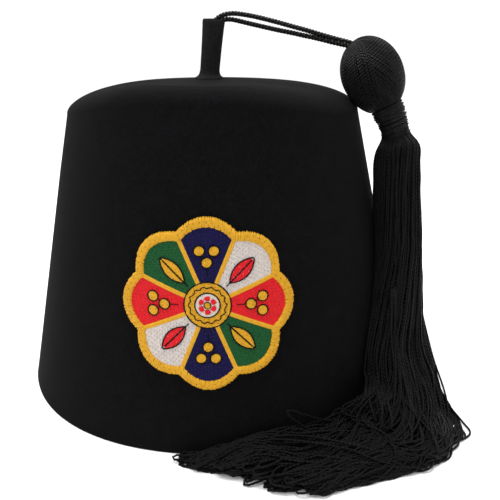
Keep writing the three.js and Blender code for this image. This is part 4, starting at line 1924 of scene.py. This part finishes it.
def sew_middle():
    sew_fill("gold", disc_inside(MIDDLE, DISC_RADIUS), DISC_SLANT, FIELD_ROWS, MOTIF_LIFT)
    sew_line(disc_outline(MIDDLE, DISC_RADIUS), DISC_LINE)
    sew_fill("white", disc_inside(MIDDLE, SEED_HEAD_RADIUS), SEED_HEAD_SLANT, MOTIF_ROWS, SEED_HEAD_LIFT)
    sew_line(disc_outline(MIDDLE, SEED_HEAD_RADIUS), FINE_LINE, SEED_HEAD_LINE_LIFT)
    turn = np.linspace(0, 2 * math.pi, RIPPLE_STEPS)
    radius = RIPPLE_RADIUS + RIPPLE_DEPTH * np.cos(RIPPLE_COUNT * turn)
    sew_line(radius[:, None] * on_circle(turn), FINE_LINE, width=RIPPLE_WIDTH)
    for turn in (np.arange(SEED_COUNT) + 0.5) * 2 * math.pi / SEED_COUNT:
        seed = disc_inside(SEED_REACH * on_circle(turn), SEED_RADIUS)
        sew_fill("red", seed, turn, FINE_ROWS, SEED_LIFT, SEED_WIDTH)
    core = disc_inside(MIDDLE, CORE_SEED_RADIUS)
    sew_fill("gold", core, CORE_SEED_SLANT, FINE_ROWS, SEED_LIFT, SEED_WIDTH)
    sew_line(disc_outline(MIDDLE, CORE_LINE_RADIUS), CORE_LINE, CORE_LINE_LIFT, CORE_LINE_WIDTH)


def sew_holding():
    turn = np.arange(HOLDING_COUNT) * 2 * math.pi / HOLDING_COUNT
    radius = border_middle(turn) + HOLDING_SWING * np.cos(HOLDING_WAVES * turn)
    place = radius[:, None] * on_circle(turn)
    way = HOLDING_HALF * on_circle(turn + HOLDING_SLANT)
    ends = np.stack([place - way, place + way], axis=1)
    sew("black", ends, HOLDING_LIFT, HOLDING_WIDTH, HOLDING_HEIGHT)


sew_middle()
sew_holding()
for colour, bodies in sewn.items():
    vertices, faces, uv = join_bodies(*bodies)
    add_piece(f"{colour}_stitches", vertices, faces, THREAD[colour], (), uv)

# %% [markdown]
# ## The ground
# Under the stitches is a stiff gold twill, cut to the scalloped outline. It shows only between stitches.
# A diagonal wave pattern is enough for its weave.

# %% Cut the ground
TWILL_SHINE = 0.2
TWILL_SCALE = 700.0
TWILL_BUMP = 0.4
TWILL_DEPTH = 0.1
TWILL_ROUGHNESS = (0.15, 0.6)
TWILL_COLOURS = ((0.2, 0.1, 0.008), (0.36, 0.19, 0.012))
GROUND_SPOKES = 160
GROUND_RINGS = np.linspace(0.02, 1, 12)
GROUND_UNDER = 1.2


def patch_ring(radius, angle, lift):
    return patch_point(radius * np.cos(angle), radius * np.sin(angle), lift)


def make_twill():
    material = new_material("gold_twill")
    principled(material).inputs["Specular IOR Level"].default_value = TWILL_SHINE
    place = add_node(material, "ShaderNodeTexCoord")
    wave = add_node(material, "ShaderNodeTexWave", bands_direction="DIAGONAL")
    wave.inputs["Scale"].default_value = TWILL_SCALE
    join(material, place.outputs["Object"], wave.inputs["Vector"])
    weave = wave.outputs["Fac"]
    feed_colour(material, weave, *TWILL_COLOURS)
    feed_bump(material, weave, TWILL_BUMP, TWILL_DEPTH)
    feed_roughness(material, weave, *TWILL_ROUGHNESS)
    return material


def make_ground():
    angle = np.linspace(0, 2 * math.pi, GROUND_SPOKES, endpoint=False)
    edge = field_edge(angle) + GROUND_UNDER
    rings = [patch_ring(edge * share, angle, CLOTH_TOP) for share in GROUND_RINGS]
    rings += [patch_ring(edge * share, angle, PATCH_GAP) for share in GROUND_RINGS[::-1]]
    vertices, faces = close_grid(np.array(rings))
    add_piece("patch_ground", vertices, faces, make_twill(), ["emblem_ground"])


make_ground()

# %% [markdown]
# ## The border
# The patch's edge is overlocked: thread wraps over it, side by side. The wraps are single threads over a
# rounded core, slightly slanted, because a smooth gold ring would look like plastic.

# %% Overlock the border
BORDER_SPOKES = 300
BORDER_OVERHANG = 0.5
BORDER_FOOT = 0.15
BORDER_CORE_UNDER = 0.25
CORE_SHARES = np.concatenate([np.linspace(0.03, 0.97, 9), [0.97, 0.03]])
WRAP_SEED = 3
WRAP_COUNT = 400
WRAP_STEPS = 9
WRAP_RADIUS = 0.3
WRAP_SIDES = 5
WRAP_RISE = 1.75
WRAP_SLANT = 0.02
SLANT_SCATTER = 0.5
REACH_SCATTER = 0.05


def border_section(share):
    """Distance from the border's middle and lift, over the top from the inner edge to the outer."""
    off = (share - 0.5) * (BORDER_WIDTH + BORDER_OVERHANG)
    rise = np.sqrt(np.clip(1 - (2 * share - 1) ** 4, 0, 1))
    return off, PATCH_GAP + BORDER_FOOT + WRAP_RISE * rise


def border_core():
    """A ring of rounded section, closed both ways."""
    angle = np.linspace(0, 2 * math.pi, BORDER_SPOKES, endpoint=False)
    off, lift = border_section(CORE_SHARES)
    lift = lift - BORDER_CORE_UNDER
    lift[-2:] = PATCH_GAP
    rings = np.array([patch_ring(border_middle(angle) + o, angle, h) for o, h in zip(off, lift)])
    index = np.arange(rings[..., 0].size).reshape(rings.shape[:2])
    right = np.roll(index, -1, axis=1)
    down, corner = np.roll(index, -1, axis=0), np.roll(right, -1, axis=0)
    quads = np.stack([index, down, corner, right], axis=-1).reshape(-1, 4).tolist()
    return rings.reshape(-1, 3), quads, None


def border_wraps(rng):
    turn = np.arange(WRAP_COUNT)[:, None] * 2 * math.pi / WRAP_COUNT
    share = np.linspace(0, 1, WRAP_STEPS)
    off, lift = border_section(share)
    slant = WRAP_SLANT * (1 + SLANT_SCATTER * rng.standard_normal((WRAP_COUNT, 1)))
    angle = turn + slant * (share - 0.5)
    radius = border_middle(angle) + off * (1 + REACH_SCATTER * rng.standard_normal((WRAP_COUNT, 1)))
    return patch_ring(radius, angle, lift)


def make_border():
    wraps = tube_mesh(border_wraps(np.random.default_rng(WRAP_SEED)), WRAP_RADIUS, WRAP_SIDES)
    vertices, faces, uv = join_bodies(border_core(), wraps)
    gold = THREAD["gold"]
    add_piece("overlocked_border", vertices, faces, gold, ["emblem_border"], uv)


make_border()
